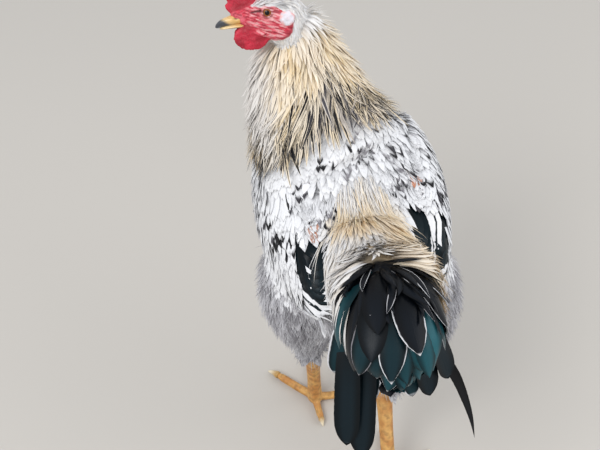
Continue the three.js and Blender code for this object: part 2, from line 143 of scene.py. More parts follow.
WATTLE_AT, WATTLE_HALF = np.array([7.0, -15.5, -23.0]), np.array([2.6, 16.0, 11.5])
# The upper edge of the bare face: places along the head, and how high it is there.
FACE_TOP = ([-34.0, -19.0, -14.0, -10.0, -1.5, 9.0, 16.0], [9.0, 7.5, 4.0, 4.4, 5.9, 4.2, 2.2])
# Ridges of the face: the places along each, its radius and how softly it joins the head. They lie over
# the eye, under it, twice across the cheek, below the ear lobe, along the cheek's edge, at the corner of
# the mouth and under it.
FACE_FOLDS = [
    ([[11.0, -14.5, 1.6], [13.4, -5.0, 4.6], [13.6, 6.5, 4.4]], 1.2, 2.4),
    ([[12.2, -8.5, -6.0], [13.6, 0.0, -7.4], [13.6, 8.0, -6.0]], 0.9, 1.6),
    ([[11.2, -13.0, -8.2], [12.8, -3.0, -10.4], [13.2, 7.0, -13.0], [12.6, 14.0, -16.0]], 0.8, 1.2),
    ([[10.4, -14.5, -10.8], [12.0, -5.0, -13.6], [12.4, 5.0, -16.6], [11.8, 11.0, -19.0]], 0.8, 1.2),
    ([[14.0, 9.5, -10.0], [14.0, 13.5, -13.0], [13.2, 15.5, -17.5]], 0.8, 1.2),
    ([[12.0, 20.6, -11.0], [11.6, 18.8, -18.5], [10.8, 12.5, -23.4], [9.0, 5.0, -24.4]], 1.9, 1.6),
    ([[7.6, -17.5, -14.6], [8.8, -9.5, -14.2], [10.2, -1.0, -15.6]], 1.3, 1.4),
    ([[6.4, -20.5, -16.8], [8.2, -13.0, -18.6], [9.4, -5.0, -20.0]], 1.5, 1.2),
]
LOBE_AT, LOBE_HALF = np.array([15.4, 17.0, -5.0]), np.array([2.7, 6.4, 6.8])
CERE_AT, CERE_HALF = np.array([0.0, -25.5, -3.4]), np.array([6.4, 8.0, 4.6])  # the flesh over the bill's root

# Tail: the side place of each main feather's root, its tip and its half width.
VANE_ROOT, VANE_SAG = [104.0, 314.0], 12.0
TAIL_TOP, TAIL_SLANT = 370, 0.25  # where the tail's front edge starts on the back, and its slant
TAIL_FEATHERS = {
    1: [
        [34, [49.5, 171, 216], 12],
        [20, [38, 180, 208], 12.5],
        [12, [27, 154, 250], 10.5],
        [36, [51, 128, 268], 9],
    ],
    -1: [
        [-16, [-27, 163, 260], 12],
        [-26, [-46, 154, 268], 12],
        [-6, [-11, 162, 262], 11],
    ],
}
EDGED_FEATHERS = {(1, 3), (1, 4), (-1, 3)}  # those with a pale edge
SICKLE = [
    [-40, 118, 302, 5.6], [-49, 132, 268, 5.2], [-60, 141, 245, 4.8], [-68, 151, 222, 4],
    [-72.5, 162, 204, 2.9], [-74, 173, 189, 1.3],
]

# The hackle's lower edge: angle round the neck in degrees from the left, its height, and how far up
# from it the feathers are striped.
HACKLE_MIDDLE = np.array([10.0, -85.0])
HACKLE_HEM = np.array([
    [-150, 352, 30], [-90, 335, 40], [-30, 328, 50], [18, 350, 52], [40, 368, 50], [68, 378, 52],
    [91, 382, 54], [127, 382, 50], [180, 372, 34],
])

# Where dark marks gather on the white back and wings: place, reach, and the share of marked feathers.
GATHERED = np.array([
    [79, -33, 318, 7, 0.9], [82, -16, 308, 8, 0.9], [77, 6, 304, 11, 0.8], [64, 22, 312, 9, 0.5],
    [46, -22, 341, 13, 0.6], [30, -14, 344, 9, 0.6], [31, 12, 337, 12, 0.9], [58, -10, 334, 9, 0.7],
    [70, 16, 306, 9, 0.8], [46, -46, 366, 10, 0.5], [30, -30, 362, 7, 0.6], [8, -26, 360, 11, 0.8],
    [-16, -36, 366, 14, 0.8], [-12, -54, 374, 12, 0.9], [-30, -66, 374, 12, 0.8], [-56, -84, 364, 12, 0.4],
    [-46, -30, 351, 12, 0.8], [-46, -10, 342, 12, 0.9], [-66, -16, 338, 9, 0.7], [-82, -4, 328, 9, 0.9],
    [-90, -22, 318, 8, 0.5],
])
RUST_SPOTS = [[48, 19, 327, 8.5], [-61, -19, 336, 7.0]]
# How dark each flight feather is across its width, from the upper one to the lower one.
FLIGHT_DARK = {
    1: [1.3, 1.3, 1.3, 1.3, 1.1, 0.7, 0.4, -0.2, 0.3, -0.2, 0.25, -0.2, -0.2, -0.2, -0.2],
    -1: [1.3, 1.3, 1.3, 0.3, 0.1, 1.3, 1.3, 1.3, 0.6, -0.2, 0.2, -0.2, -0.2, -0.2, -0.2],
}

# The withers, which fill the hollow between the neck and the back.
WITHERS = [[52, -52, 328], [30, -47, 335], [8, -50, 336], [-14, -60, 340], [-32, -69, 340], [-46, -86, 340]]
WITHERS_RADIUS, WITHERS_FILLET = 22.0, 14.0
# The loin under the golden feathers, which fills the hollow before the tail.
LOIN = [[2, y, 324, 34, 17, 17] for y in (6, 39, 72, 106)]

# How deep the coat lies over the skin, in each part.
DEPTH_TRUNK, DEPTH_NECK, DEPTH_DOME, DEPTH_THIGH, DEPTH_FACE = 11.0, 9.0, 12.0, 11.0, 0.7
DEPTH_WING = 7.0
WING_PROUD = 9.0  # how far the folded wing's outside stands from the trunk's outside
WING_SHRINK = 5.0  # how far the wing's skin lies inside its loft, and the fillet round it


# ---------------------------------------------------------------- numbers
def unit(vectors: np.ndarray) -> np.ndarray:
    """Each vector divided by its length."""
    return vectors / np.maximum(np.linalg.norm(vectors, axis=-1, keepdims=True), 1e-9)


def ease(low: float, high: float, value: np.ndarray) -> np.ndarray:
    """A smooth step: 0 below low, 1 above high and 3x^2 - 2x^3 between."""
    x = np.clip((value - low) / (high - low), 0.0, 1.0)
    return x * x * (3.0 - 2.0 * x)


def hump(middle: float, width: float, value: np.ndarray) -> np.ndarray:
    """A bell of height 1 at the middle: exp of minus the squared distance in widths."""
    return np.exp(-(((value - middle) / width) ** 2))


def bell(points: np.ndarray, middle: list, width: list) -> np.ndarray:
    """The same in space: 1 at the middle, with a width along each axis."""
    return np.exp(-((((points - middle) / width) ** 2).sum(1)))


def waves(points: np.ndarray, length: float, seed: int, count: int = 14) -> np.ndarray:
    """A smooth random field of about -1 to 1: the mean of plane waves in random directions.

    Args:
        points: places, in mm, in the last axis.
        length: the typical wave length, in mm.
        seed: picks the directions and phases.
        count: how many waves are added.

    Returns:
        One number for each place.
    """
    chance = np.random.default_rng(seed)
    ways = unit(chance.normal(size=(count, 3))) * (2.0 * math.pi / length) * chance.uniform(0.7, 1.4, (count, 1))
    phases = chance.uniform(0.0, 2.0 * math.pi, count)
    total = np.zeros(points.shape[:-1])
    for way, phase in zip(ways, phases):
        total += np.sin(points @ way + phase)
    return total / math.sqrt(count / 2.0)


def paint(code: str) -> np.ndarray:
    """A colour written as six hexadecimal digits, as linear red, green and blue."""
    value = np.array([int(code[i : i + 2], 16) for i in (0, 2, 4)]) / 255.0
    return np.where(value <= 0.04045, value / 12.92, ((value + 0.055) / 1.055) ** 2.4)


def blend(first: np.ndarray, second: np.ndarray, share: np.ndarray) -> np.ndarray:
    """A mix of two colours or colour lists, by a share for each row."""
    part = np.asarray(share)[..., None]
    return first * (1.0 - part) + second * part


def square_to(across: np.ndarray, along: np.ndarray) -> np.ndarray:
    """The directions nearest to one direction that stand square to each of the others."""
    return unit(across - along * (along @ across)[..., None])


def mirrored(points: np.ndarray) -> np.ndarray:
    """Places in the head's frame with the right half folded onto the left."""
    return np.stack([np.abs(points[..., 0]), points[..., 1], points[..., 2]], -1)


def tube(steps: int, around: int) -> tuple:
    """The faces of a tube of rings, closed by two poles that come after the rings' points.

    Args:
        steps: rings.
        around: points in a ring.

    Returns:
        Quads and triangles.
    """
    k, i = np.meshgrid(np.arange(steps - 1), np.arange(around), indexing="ij")
    j = (i + 1) % around
    quads = np.stack([k * around + i, k * around + j, (k + 1) * around + j, (k + 1) * around + i], -1)
    ring = np.arange(around)
    after = (ring + 1) % around
    base, pole = (steps - 1) * around, steps * around
    first = np.stack([np.full(around, pole), after, ring], -1)
    last = np.stack([np.full(around, pole + 1), base + ring, base + after], -1)
    return quads.reshape(-1, 4), np.vstack([first, last])


def turned(axis: int, degrees: float) -> np.ndarray:
    """The rotation matrix about one axis of the frame."""
    angle = math.radians(degrees)
    c, s = math.cos(angle), math.sin(angle)
    made = np.eye(3)
    a, b = (axis + 1) % 3, (axis + 2) % 3
    made[a, a] = made[b, b] = c
    made[b, a], made[a, b] = s, -s
    return made


HEAD_AXES = turned(2, HEAD_TURN) @ turned(0, HEAD_NOD) @ turned(1, HEAD_TILT)


def from_head(points: np.ndarray) -> np.ndarray:
    """Places in the head's frame, in the bird's frame."""
    return points @ HEAD_AXES.T + HEAD_PLACE


def to_head(points: np.ndarray) -> np.ndarray:
    """Places in the bird's frame, in the head's frame."""
    return (points - HEAD_PLACE) @ HEAD_AXES


def row_origin() -> np.ndarray:
    """The bird's origin in the row frame, in mm, read off the left eye's solid."""
    low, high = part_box("eye_left")
    middle = (np.array(low) + np.array(high)) / 2.0 / MM
    return middle - from_head(np.array([EYE_SIDE, 0.0, 0.0]))


ORIGIN = row_origin()


def placed(points: np.ndarray) -> np.ndarray:
    """Places in the bird's millimetres, in the row's metres."""
    return (points + ORIGIN) * MM


# ---------------------------------------------------------------- lofts
PLACE, REACH, SIDE_REACH = slice(0, 3), slice(3, 6), slice(3, 4)  # the values of a station
END_SHARE = 0.006  # where a loft's first and last rings are


@dataclass
class Loft:
    """A closed form round a curved line through stations."""

    stations: list
    caps: tuple = (0.2, 0.2)
    power: float = 2.0
    across: tuple = (1.0, 0.0, 0.0)
    in_head: bool = False

    def curve(self, columns: slice, t: np.ndarray) -> tuple:
        """Catmull-Rom curve through the station values: its value and slope at shares t.

        Args:
            columns: which station values.
            t: shares along the line, 0 to 1.

        Returns:
            The values and their slopes.
        """
        values = np.array(self.stations, dtype=float)[:, columns]
        padded = np.vstack([2 * values[0] - values[1], values, 2 * values[-1] - values[-2]])
        place = np.clip(t, 0.0, 1.0) * (len(values) - 1)
        k = np.minimum(place.astype(int), len(values) - 2)
        x = (place - k)[..., None]
        p0, p1, p2, p3 = (padded[k + i] for i in range(4))
        b, c, d = p2 - p0, 2 * p0 - 5 * p1 + 4 * p2 - p3, 3 * (p1 - p2) + p3 - p0
        return 0.5 * (2 * p1 + b * x + c * x**2 + d * x**3), 0.5 * (b + 2 * c * x + 3 * d * x**2)

    def surface(self, t: np.ndarray, turn: np.ndarray, grow: float = 0.0) -> np.ndarray:
        """Places on the form: the line's point plus a superellipse across it.

        The radii shrink to the ends as a circle does, over the cap shares, and grow is added to them.

        Args:
            t: shares along the line.
            turn: angles round it, from the right side through above.
            grow: how far outside the form, in mm.

        Returns:
            One place for each pair.
        """
        middle, slope = self.curve(PLACE, t)
        along = unit(slope)
        right = square_to(np.array(self.across), along)
        up = np.cross(right, along)
        reach = self.curve(REACH, t)[0]
        front = np.minimum(1.0, t / self.caps[0])
        back = np.minimum(1.0, (1.0 - t) / self.caps[1])
        rounded = np.sqrt(np.clip((1 - (1 - front) ** 2) * (1 - (1 - back) ** 2), 0.0, 1.0))
        c, s = np.cos(turn), np.sin(turn)
        bent = [np.sign(v) * np.abs(v) ** (2.0 / self.power) for v in (c, s)]
        side = bent[0] * (reach[..., 0] * rounded + grow)
        rise = bent[1] * (np.where(s > 0, reach[..., 1], reach[..., 2]) * rounded + grow)
        middle = middle + along * (grow * (2 * t - 1))[..., None]
        made = middle + right * side[..., None] + up * rise[..., None]
        return from_head(made) if self.in_head else made

    def grid(self, around: int, steps: int, grow: float = 0.0) -> tuple:
        """The form as rings of points closed by a pole at each end.

        Args:
            around: points in a ring.
            steps: rings.
            grow: how far outside the form, in mm.

        Returns:
            Points, quads, triangles, and each point's share along and round.
        """
        t = END_SHARE + (1 - 2 * END_SHARE) * 0.5 * (1 - np.cos(np.pi * np.arange(steps) / (steps - 1)))
        turn = 2 * np.pi * np.arange(around) / around
        tt, aa = np.meshgrid(t, turn, indexing="ij")
        rings = self.surface(tt.ravel(), aa.ravel(), grow)
        ends, slopes = self.curve(PLACE, np.array([0.0, 1.0]))
        poles = ends + unit(slopes) * np.array([[-grow], [grow]])
        poles = from_head(poles) if self.in_head else poles
        share = np.concatenate([np.stack([tt.ravel(), aa.ravel() / (2 * np.pi)], -1), [[0, 0], [1, 0]]])
        return np.vstack([rings, poles]), *tube(steps, around), share

    def nearest(self, points: np.ndarray, count: int = 160) -> tuple:
        """The share of the line nearest to each point, and the angle round it.

        Args:
            points: places, in the frame of the stations.
            count: samples of the line.

        Returns:
            Shares, angles from the side direction, and the line's length.
        """
        t = np.linspace(0.0, 1.0, count)
        line, slope = self.curve(PLACE, t)
        k = ((points[:, None, :] - line[None]) ** 2).sum(-1).argmin(1)
        along = unit(slope)[k]
        right = square_to(np.array(self.across), along)
        up = np.cross(right, along)
        off = points - line[k]
        angle = np.arctan2((off * up).sum(-1), (off * right).sum(-1))
        steps = np.linalg.norm(np.diff(line, axis=0), axis=1)
        return t[k], angle, float(steps.sum())


def toe_loft(hand: int, toe: list, start: float, stop: float) -> Loft:
    """A toe or claw between two shares of its length, heading out from the ball of the foot.

    Args:
        hand: 1 for left, -1 for right.
        toe: number, heading, length, radius and rise.
        start: the first share.
        stop: the last share.

    Returns:
        The loft.
    """
    _, heading, length, radius, rise = toe
    angle = math.radians(heading)
    way = np.array([hand * math.sin(angle), -math.cos(angle)])
    foot = np.array(SHANKS[hand][-1][:2])
    share = np.linspace(start, stop, 6)
    claw = np.maximum(0.0, (share - 1 + CLAW_SHARE) / CLAW_SHARE)
    thin = radius * (1 - 0.18 * share) * (1 - 0.78 * claw**0.9)
    root = rise * np.maximum(0.0, 1 - share / 0.3) ** 1.5
    height = TOE_HEIGHT + (-0.5 - TOE_HEIGHT) * claw**1.6 + root + 1.6 * claw * (1 - claw)
    place = foot + way * (length * share)[:, None]
    rows = np.column_stack([place, height, thin, thin, thin])
    return Loft(rows.tolist(), caps=(0.06, 0.2), across=(math.cos(angle), hand * math.sin(angle), 0.0))


# ---------------------------------------------------------------- distance fields
@dataclass
class Volume:
    """Distances to a surface on an even grid: negative inside, positive outside."""

    low: np.ndarray
    pitch: float
    values: np.ndarray
    slopes: list = field(default_factory=list)

    @classmethod
    def of_mesh(cls, mesh: tuple, pitch: float, margin: float = 15.0) -> "Volume":
        """The distances to a closed mesh.

        Args:
            mesh: points, quads, triangles and anything more.
            pitch: grid step, in mm.
            margin: how far from the surface distances are kept.

        Returns:
            The volume.
        """
        points, quads, tris = mesh[:3]
        low = points.min(0) - margin - pitch
        size = np.ceil((points.max(0) + margin + pitch - low) / pitch).astype(int) + 1
        level = vdb.FloatGrid.createLevelSetFromPolygons(
            ((points - low) / pitch).astype(np.float32),
            triangles=tris.astype(np.uint32),
            quads=quads.astype(np.uint32),
            transform=vdb.createLinearTransform(voxelSize=1.0),
            halfWidth=margin / pitch,
        )
        values = np.zeros(size, dtype=np.float32)
        level.copyToArray(values, ijk=(0, 0, 0))
        return cls(low, pitch, values * pitch)

    def onto(self, axes: list) -> tuple:
        """The distances at the points of a box grid, by mixing the nearest values along each axis.

        Args:
            axes: the box grid's places along x, y and z.

        Returns:
            The slices of the box grid that the volume covers, and the values there.
        """
        block, spans = self.values, []
        for d in range(3):
            place = (axes[d] - self.low[d]) / self.pitch
            kept = np.flatnonzero((place >= 0) & (place <= self.values.shape[d] - 1))
            base = np.minimum(place[kept].astype(int), self.values.shape[d] - 2)
            part = (place[kept] - base).astype(np.float32)
            shape = [1, 1, 1]
            shape[d] = -1
            part = part.reshape(shape)
            block = np.take(block, base, axis=d) * (1 - part) + np.take(block, base + 1, axis=d) * part
            spans.append(slice(kept[0], kept[-1] + 1))
        return tuple(spans), block

    def look(self, values: np.ndarray, points: np.ndarray) -> np.ndarray:
        """Values of a grid at any places, by mixing the eight nearest.

        Args:
            values: an array like the volume's own.
            points: places, in mm.

        Returns:
            One value for each place.
        """
        top = np.array(values.shape) - 1.001
        place = np.clip((points - self.low) / self.pitch, 0.0, top)
        base = place.astype(np.int32)
        part = place - base
        total = np.zeros(points.shape[:-1])
        for corner in itertools.product((0, 1), repeat=3):
            weight = np.ones(points.shape[:-1])
            for d in range(3):
                weight = weight * (part[..., d] if corner[d] else 1 - part[..., d])
            total += weight * values[tuple(base[..., d] + corner[d] for d in range(3))]
        return total

    def at(self, points: np.ndarray) -> np.ndarray:
        """The distance at each place."""
        return self.look(self.values, points)

    def normal(self, points: np.ndarray) -> np.ndarray:
        """The direction straight away from the surface at each place."""
        if not self.slopes:
            self.slopes = list(np.gradient(self.values, self.pitch))
        return unit(np.stack([self.look(s, points) for s in self.slopes], -1))


def merged(first: np.ndarray, second: np.ndarray, fillet: float) -> np.ndarray:
    """The union of two fields, with a fillet: the lesser value, less a quarter of the squared overlap."""
    overlap = np.maximum(fillet - np.abs(first - second), 0.0)
    return np.minimum(first, second) - overlap * overlap / (4.0 * fillet)


def graded(low: float, high: float, coarse: float, bands: list) -> np.ndarray:
    """Places along an axis whose step is fine in some bands and grows away from them.

    Args:
        low: the first place.
        high: the last place.
        coarse: the largest step.
        bands: start, end and step of each fine band.

    Returns:
        The places.
    """
    x = np.linspace(low, high, 4000)
    step = np.full_like(x, coarse)
    for start, end, fine in bands:
        away = np.maximum(0.0, np.maximum(start - x, x - end))
        step = np.minimum(step, fine + 0.22 * away)
    count = np.concatenate([[0.0], np.cumsum(np.diff(x) / step[1:])])
    return np.interp(np.linspace(0.0, count[-1], int(count[-1]) + 2), count, x)


def window(axes: list, low: np.ndarray, high: np.ndarray) -> tuple:
    """The part of a box grid between two corners.

    Args:
        axes: the grid's places along x, y and z.
        low: the lower corner.
        high: the upper corner.

    Returns:
        The part's slices, and its places.
    """
    spans = tuple(slice(*np.searchsorted(a, ends).tolist()) for a, *ends in zip(axes, low, high))
    return spans, np.stack(np.meshgrid(*[a[span] for a, span in zip(axes, spans)], indexing="ij"), -1)


def nets(axes: list, values: np.ndarray) -> tuple:
    """The surface where a field is zero, as quads: one point in each cell that it crosses.

    A cell's point is the mean of where its edges cross zero, and each crossed edge makes a quad of the
    four cells round it.

    Args:
        axes: the grid's places along x, y and z.
        values: the field.

    Returns:
        Points and quads.
    """
    inside = values < 0
    cells_shape = tuple(n - 1 for n in values.shape)
    crossings, rings = [], []
    for axis in range(3):
        near, far = [slice(None)] * 3, [slice(None)] * 3
        near[axis], far[axis] = slice(0, -1), slice(1, None)
        near, far = tuple(near), tuple(far)
        edge = np.argwhere(inside[near] != inside[far])
        start, stop = values[near][tuple(edge.T)], values[far][tuple(edge.T)]
        share = start / (start - stop)
        point = np.stack([axes[d][edge[:, d]] for d in range(3)], -1)
        point[:, axis] += share * (axes[axis][edge[:, axis] + 1] - axes[axis][edge[:, axis]])
        u, w = (axis + 1) % 3, (axis + 2) % 3
        around = []
        for du, dw in ((0, 0), (1, 0), (1, 1), (0, 1)):
            cell = edge.copy()
            cell[:, u] -= du
            cell[:, w] -= dw
            around.append(np.ravel_multi_index(tuple(cell.T), cells_shape))
        quad = np.stack(around, -1)
        outward = inside[near][tuple(edge.T)]
        quad[~outward] = quad[~outward][:, ::-1]
        crossings.append(np.repeat(point, 4, axis=0))
        rings.append(quad)
    quads = np.vstack(rings)
    points = np.vstack(crossings)
    cells, index = np.unique(quads.ravel(), return_inverse=True)
    flipped = np.bincount(index, minlength=len(cells))
    made = np.stack([np.bincount(index, weights=points[:, d], minlength=len(cells)) for d in range(3)], -1)
    return made / flipped[:, None], index.reshape(quads.shape)


# ---------------------------------------------------------------- meshes
def new_piece(name: str, points: np.ndarray, quads: np.ndarray, tris: np.ndarray = None) -> bpy.types.Object:
    """A mesh object at the origin from points in the bird's mm.

    Args:
        name: the piece's name.
        points: places.
        quads: rows of four point numbers.
        tris: rows of three point numbers.

    Returns:
        The object, smooth shaded and linked to the scene.
    """
    tris = np.zeros((0, 3), dtype=int) if tris is None else tris
    mesh = bpy.data.meshes.new(name)
    mesh.vertices.add(len(points))
    mesh.vertices.foreach_set("co", placed(points).astype(np.float32).ravel())
    corners = np.concatenate([quads.ravel(), tris.ravel()]).astype(np.int32)
    mesh.loops.add(len(corners))
    mesh.loops.foreach_set("vertex_index", corners)
    starts = np.concatenate([np.arange(len(quads)) * 4, len(quads) * 4 + np.arange(len(tris)) * 3])
    mesh.polygons.add(len(starts))
    mesh.polygons.foreach_set("loop_start", starts.astype(np.int32))
    mesh.update(calc_edges=True)
    mesh.shade_smooth()
    made = bpy.data.objects.new(name, mesh)
    bpy.context.scene.collection.objects.link(made)
    return made


def pulled(rows: bpy.types.bpy_prop_collection, key: str, width: int, kind: type = np.int32) -> np.ndarray:
    """One value of each row of a mesh's collection, as an array of the given width."""
    values = np.empty(len(rows) * width, dtype=kind)
    rows.foreach_get(key, values)
    return values.reshape(-1, width)


def add_uv(piece: bpy.types.Object, name: str, places: np.ndarray) -> None:
    """Gives a mesh a UV map with one place for each point."""
    corners = pulled(piece.data.loops, "vertex_index", 1)[:, 0]
    made = piece.data.uv_layers.new(name=name)
    made.data.foreach_set("uv", places[corners].astype(np.float32).ravel())


def add_values(piece: bpy.types.Object, name: str, values: np.ndarray, kind: str = "FLOAT_COLOR") -> None:
    """Gives each point of a mesh a colour (FLOAT_COLOR) or three numbers (FLOAT_VECTOR)."""
    made = piece.data.attributes.new(name, kind, "POINT")
    coloured = kind == "FLOAT_COLOR"
    values = np.column_stack([values, np.ones(len(values))]) if coloured else values
    made.data.foreach_set("color" if coloured else "vector", values.astype(np.float32).ravel())


def finished(piece: bpy.types.Object, material: bpy.types.Material, slot: str, *nodes: str) -> None:
    """Gives a piece its material, rides it on the body and hides the solids that it stands for."""
    piece.data.materials.append(material)
    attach(piece, BODY)
    if nodes:
        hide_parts(*nodes)
    log.info("%s: %d faces", piece.name, len(piece.data.polygons))


# ---------------------------------------------------------------- markings
WHITE, CREAM, BUFF, GOLD = paint("e6e6e8"), paint("ecdfcb"), paint("e0c9a0"), paint("f2dcb8")
PALE_GREY, GREY, DARK, BLACK = paint("b9b7bb"), paint("8b888d"), paint("47454a"), paint("131316")
# the teal is the black feathers' sheen, painted into their marks
BLUE_BLACK, SHEEN_TEAL, RUST = paint("0b1017"), paint("2f7883"), paint("b87a5c")
RED, PINK, PALE_PINK, LOBE_WHITE = paint("cd2740"), paint("d9626f"), paint("e6b0ae"), paint("d4d2da")
LEG_YELLOW, LEG_ORANGE, LEG_SHADE = paint("cf9f5c"), paint("bd8446"), paint("7f5a34")
# the creases' dark red is painted shade
COMB_DEEP, LID_RED, CREASE_SHADE = paint("a3142a"), paint("6e1d24"), paint("8e2230")
# the brow's dark colour is painted shadow under the ridge over the eye
FOLD_PALE, BROW_SHADOW, HEM_RED = paint("eab9b9"), paint("451a1e"), paint("8c1626")
BILL_YELLOW, BILL_PALE, BILL_SLATE, BILL_SHEEN = paint("d3a862"), paint("e2c795"), paint("3d4046"), paint("9aa0a8")
# the gape's dark red is painted shade between the bill's halves
NOSTRIL, GAPE_SHADE, CLAW_ROOT, CLAW_TIP = paint("2a1c12"), paint("3a1418"), paint("b08a4e"), paint("e3d6ba")
IRIS_DEEP, IRIS_PALE, IRIS_INNER = paint("6e3c1c"), paint("b0713a"), paint("5a230c")
EYE_RIM, PUPIL = paint("2a130c"), paint("050505")
FLOOR_COLOUR, BACKDROP_COLOUR = paint("c0bbb4"), paint("d6d2cc")
NO_STRIPE, NO_BAND = -0.2, 1.3  # a look's stripe width and band start where there is no mark
ALL_STRIPE, ALL_BAND = 1.4, 0.2  # the same where the mark covers the feather


@dataclass
class Look:
    """The colours and pattern of some feathers, one row for each."""

    ground: np.ndarray
    mark: np.ndarray
    stripe: np.ndarray
    tip: np.ndarray
    shift: np.ndarray

    @classmethod
    def plain(cls, ground: np.ndarray, mark: np.ndarray) -> "Look":
        """Feathers with no stripe and no tip band yet."""
        count = len(ground)
        mark = np.broadcast_to(mark, (count, 3)).copy()
        return cls(ground, mark, np.full(count, NO_STRIPE), np.full(count, NO_BAND), np.zeros(count))


def backward(points: np.ndarray) -> np.ndarray:
    """How far back a place is, on the slant of the tail's front edge."""
    return points[:, 1] + TAIL_SLANT * (TAIL_TOP - points[:, 2])


def neck_angle(points: np.ndarray) -> np.ndarray:
    """The angle round the neck's foot, in degrees from the left through behind."""
    off = points[:, :2] - HACKLE_MIDDLE
    return np.degrees(np.arctan2(off[:, 1], off[:, 0]))


@dataclass(frozen=True)
class Markings:
    """The plumage's colours over the body, shared by the skin and every layer of the coat.

    A pair says where a colour begins to set in along one axis, and where it is full.
    """

    grey_height: tuple = (292, 248)
    grey_front: tuple = (-110, -40)
    cream_band: tuple = (432, 34)  # the middle and half width of the neck's cream
    cream_height: tuple = (372, 400)
    gold_front: tuple = (4, 26)
    gold_back: tuple = (112, 88)
    gold_side: tuple = (44, 34)
    gold_height: tuple = (322, 344)
    tail_front: tuple = (83, 93)
    tail_height: tuple = (272, 290)
    tail_peak: tuple = (4, 10, 9)  # the middle, half width and reach of the tail's point on the back

    def body(self, points: np.ndarray) -> np.ndarray:
        """The ground colour at places on the body, in the bird's frame.

        White over the back, wings and breast, cream on the neck's middle, golden buff on the rump, grey
        on the flanks and thighs, and black on the tail.

        Args:
            points: places, in mm.

        Returns:
            One colour for each place.
        """
        x, y, z = points.T
        patchy = waves(points, 60.0, 3)
        colour = np.broadcast_to(WHITE, points.shape).copy()
        low = ease(*self.grey_height, z + 8 * patchy) * ease(*self.grey_front, y)
        colour = blend(colour, PALE_GREY, 0.85 * low)
        middle = hump(*self.cream_band, z) * ease(*self.cream_height, z)
        colour = blend(colour, blend(CREAM, BUFF, 0.45 + 0.25 * patchy), middle * 0.95)
        rump = ease(*self.gold_front, y) * ease(*self.gold_height, z + 4 * patchy)
        rump = rump * ease(*self.gold_back, y) * ease(*self.gold_side, np.abs(x + 1))
        colour = blend(colour, blend(CREAM, GOLD, 0.35 + 0.3 * patchy), rump)
        return blend(colour, BLUE_BLACK, self.tail(points))

    def gathered(self, points: np.ndarray) -> np.ndarray:
        """How thickly dark marks gather at places on the back and wings, 0 to 1."""
        gap = np.linalg.norm(points[:, None] - GATHERED[None, :, :3], axis=-1)
        return (GATHERED[:, 4] * np.exp(-((gap / GATHERED[:, 3]) ** 2))).max(1)

    def hem(self, points: np.ndarray) -> tuple:
        """The height of the hackle's lower edge below each place, and how far up from it the stripes go."""
        angle = neck_angle(points)
        return tuple(np.interp(angle, HACKLE_HEM[:, 0], HACKLE_HEM[:, k], period=360) for k in (1, 2))

    def tail(self, points: np.ndarray) -> np.ndarray:
        """How far a place belongs to the black tail, 0 to 1."""
        middle, width, reach = self.tail_peak
        place = backward(points) + reach * hump(middle, width, points[:, 0])
        return ease(*self.tail_front, place) * ease(*self.tail_height, points[:, 2])


MARKINGS = Markings()


# ---------------------------------------------------------------- the body's forms
@dataclass
class Forms:
    """The lofts that the solids and the skin share."""

    trunk: Loft = field(default_factory=lambda: Loft(TRUNK, (0.22, 0.22), 2.15))
    neck: Loft = field(default_factory=lambda: Loft(NECK, (0.05, 0.14)))
    dome: Loft = field(default_factory=lambda: Loft(TAIL_DOME, (0.1, 0.26), 2.3))
    loin: Loft = field(default_factory=lambda: Loft(LOIN, (0.5, 0.5)))
    skull: Loft = field(default_factory=lambda: Loft(SKULL, (0.2, 0.12), in_head=True))
    throat: Loft = field(default_factory=lambda: Loft(THROAT, (0.25, 0.25), in_head=True))
    wings: dict = field(
        default_factory=lambda: {1: Loft(WING_LEFT, (0.2, 0.3)), -1: Loft(WING_RIGHT, (0.2, 0.3))}
    )

    def thigh(self, hand: int) -> Loft:
        """One thigh with its fluff."""
        return Loft(THIGHS[hand], (0.15, 0.12))

    def shank(self, hand: int) -> Loft:
        """One bare shank."""
        return Loft(SHANKS[hand], (0.12, 0.1))


FORMS = Forms()


def ellipsoid(points: np.ndarray, middle: np.ndarray, half: np.ndarray) -> np.ndarray:
    """The distance to an ellipsoid, near enough: k(k - 1) / m, with k and m the lengths of p/half and p/half^2."""
    off = points - middle
    k = np.linalg.norm(off / half, axis=-1)
    m = np.linalg.norm(off / half**2, axis=-1)
    return k * (k - 1.0) / np.maximum(m, 1e-6)


def capsule(points: np.ndarray, ends: list, radius: float) -> np.ndarray:
    """The distance to a rounded chain of straight lengths."""
    total = np.full(points.shape[:-1], 1e3)
    for start, stop in zip(ends[:-1], ends[1:]):
        a, b = np.array(start, float), np.array(stop, float)
        share = np.clip((points - a) @ (b - a) / ((b - a) @ (b - a)), 0.0, 1.0)
        total = np.minimum(total, np.linalg.norm(points - a - share[..., None] * (b - a), axis=-1))
    return total - radius


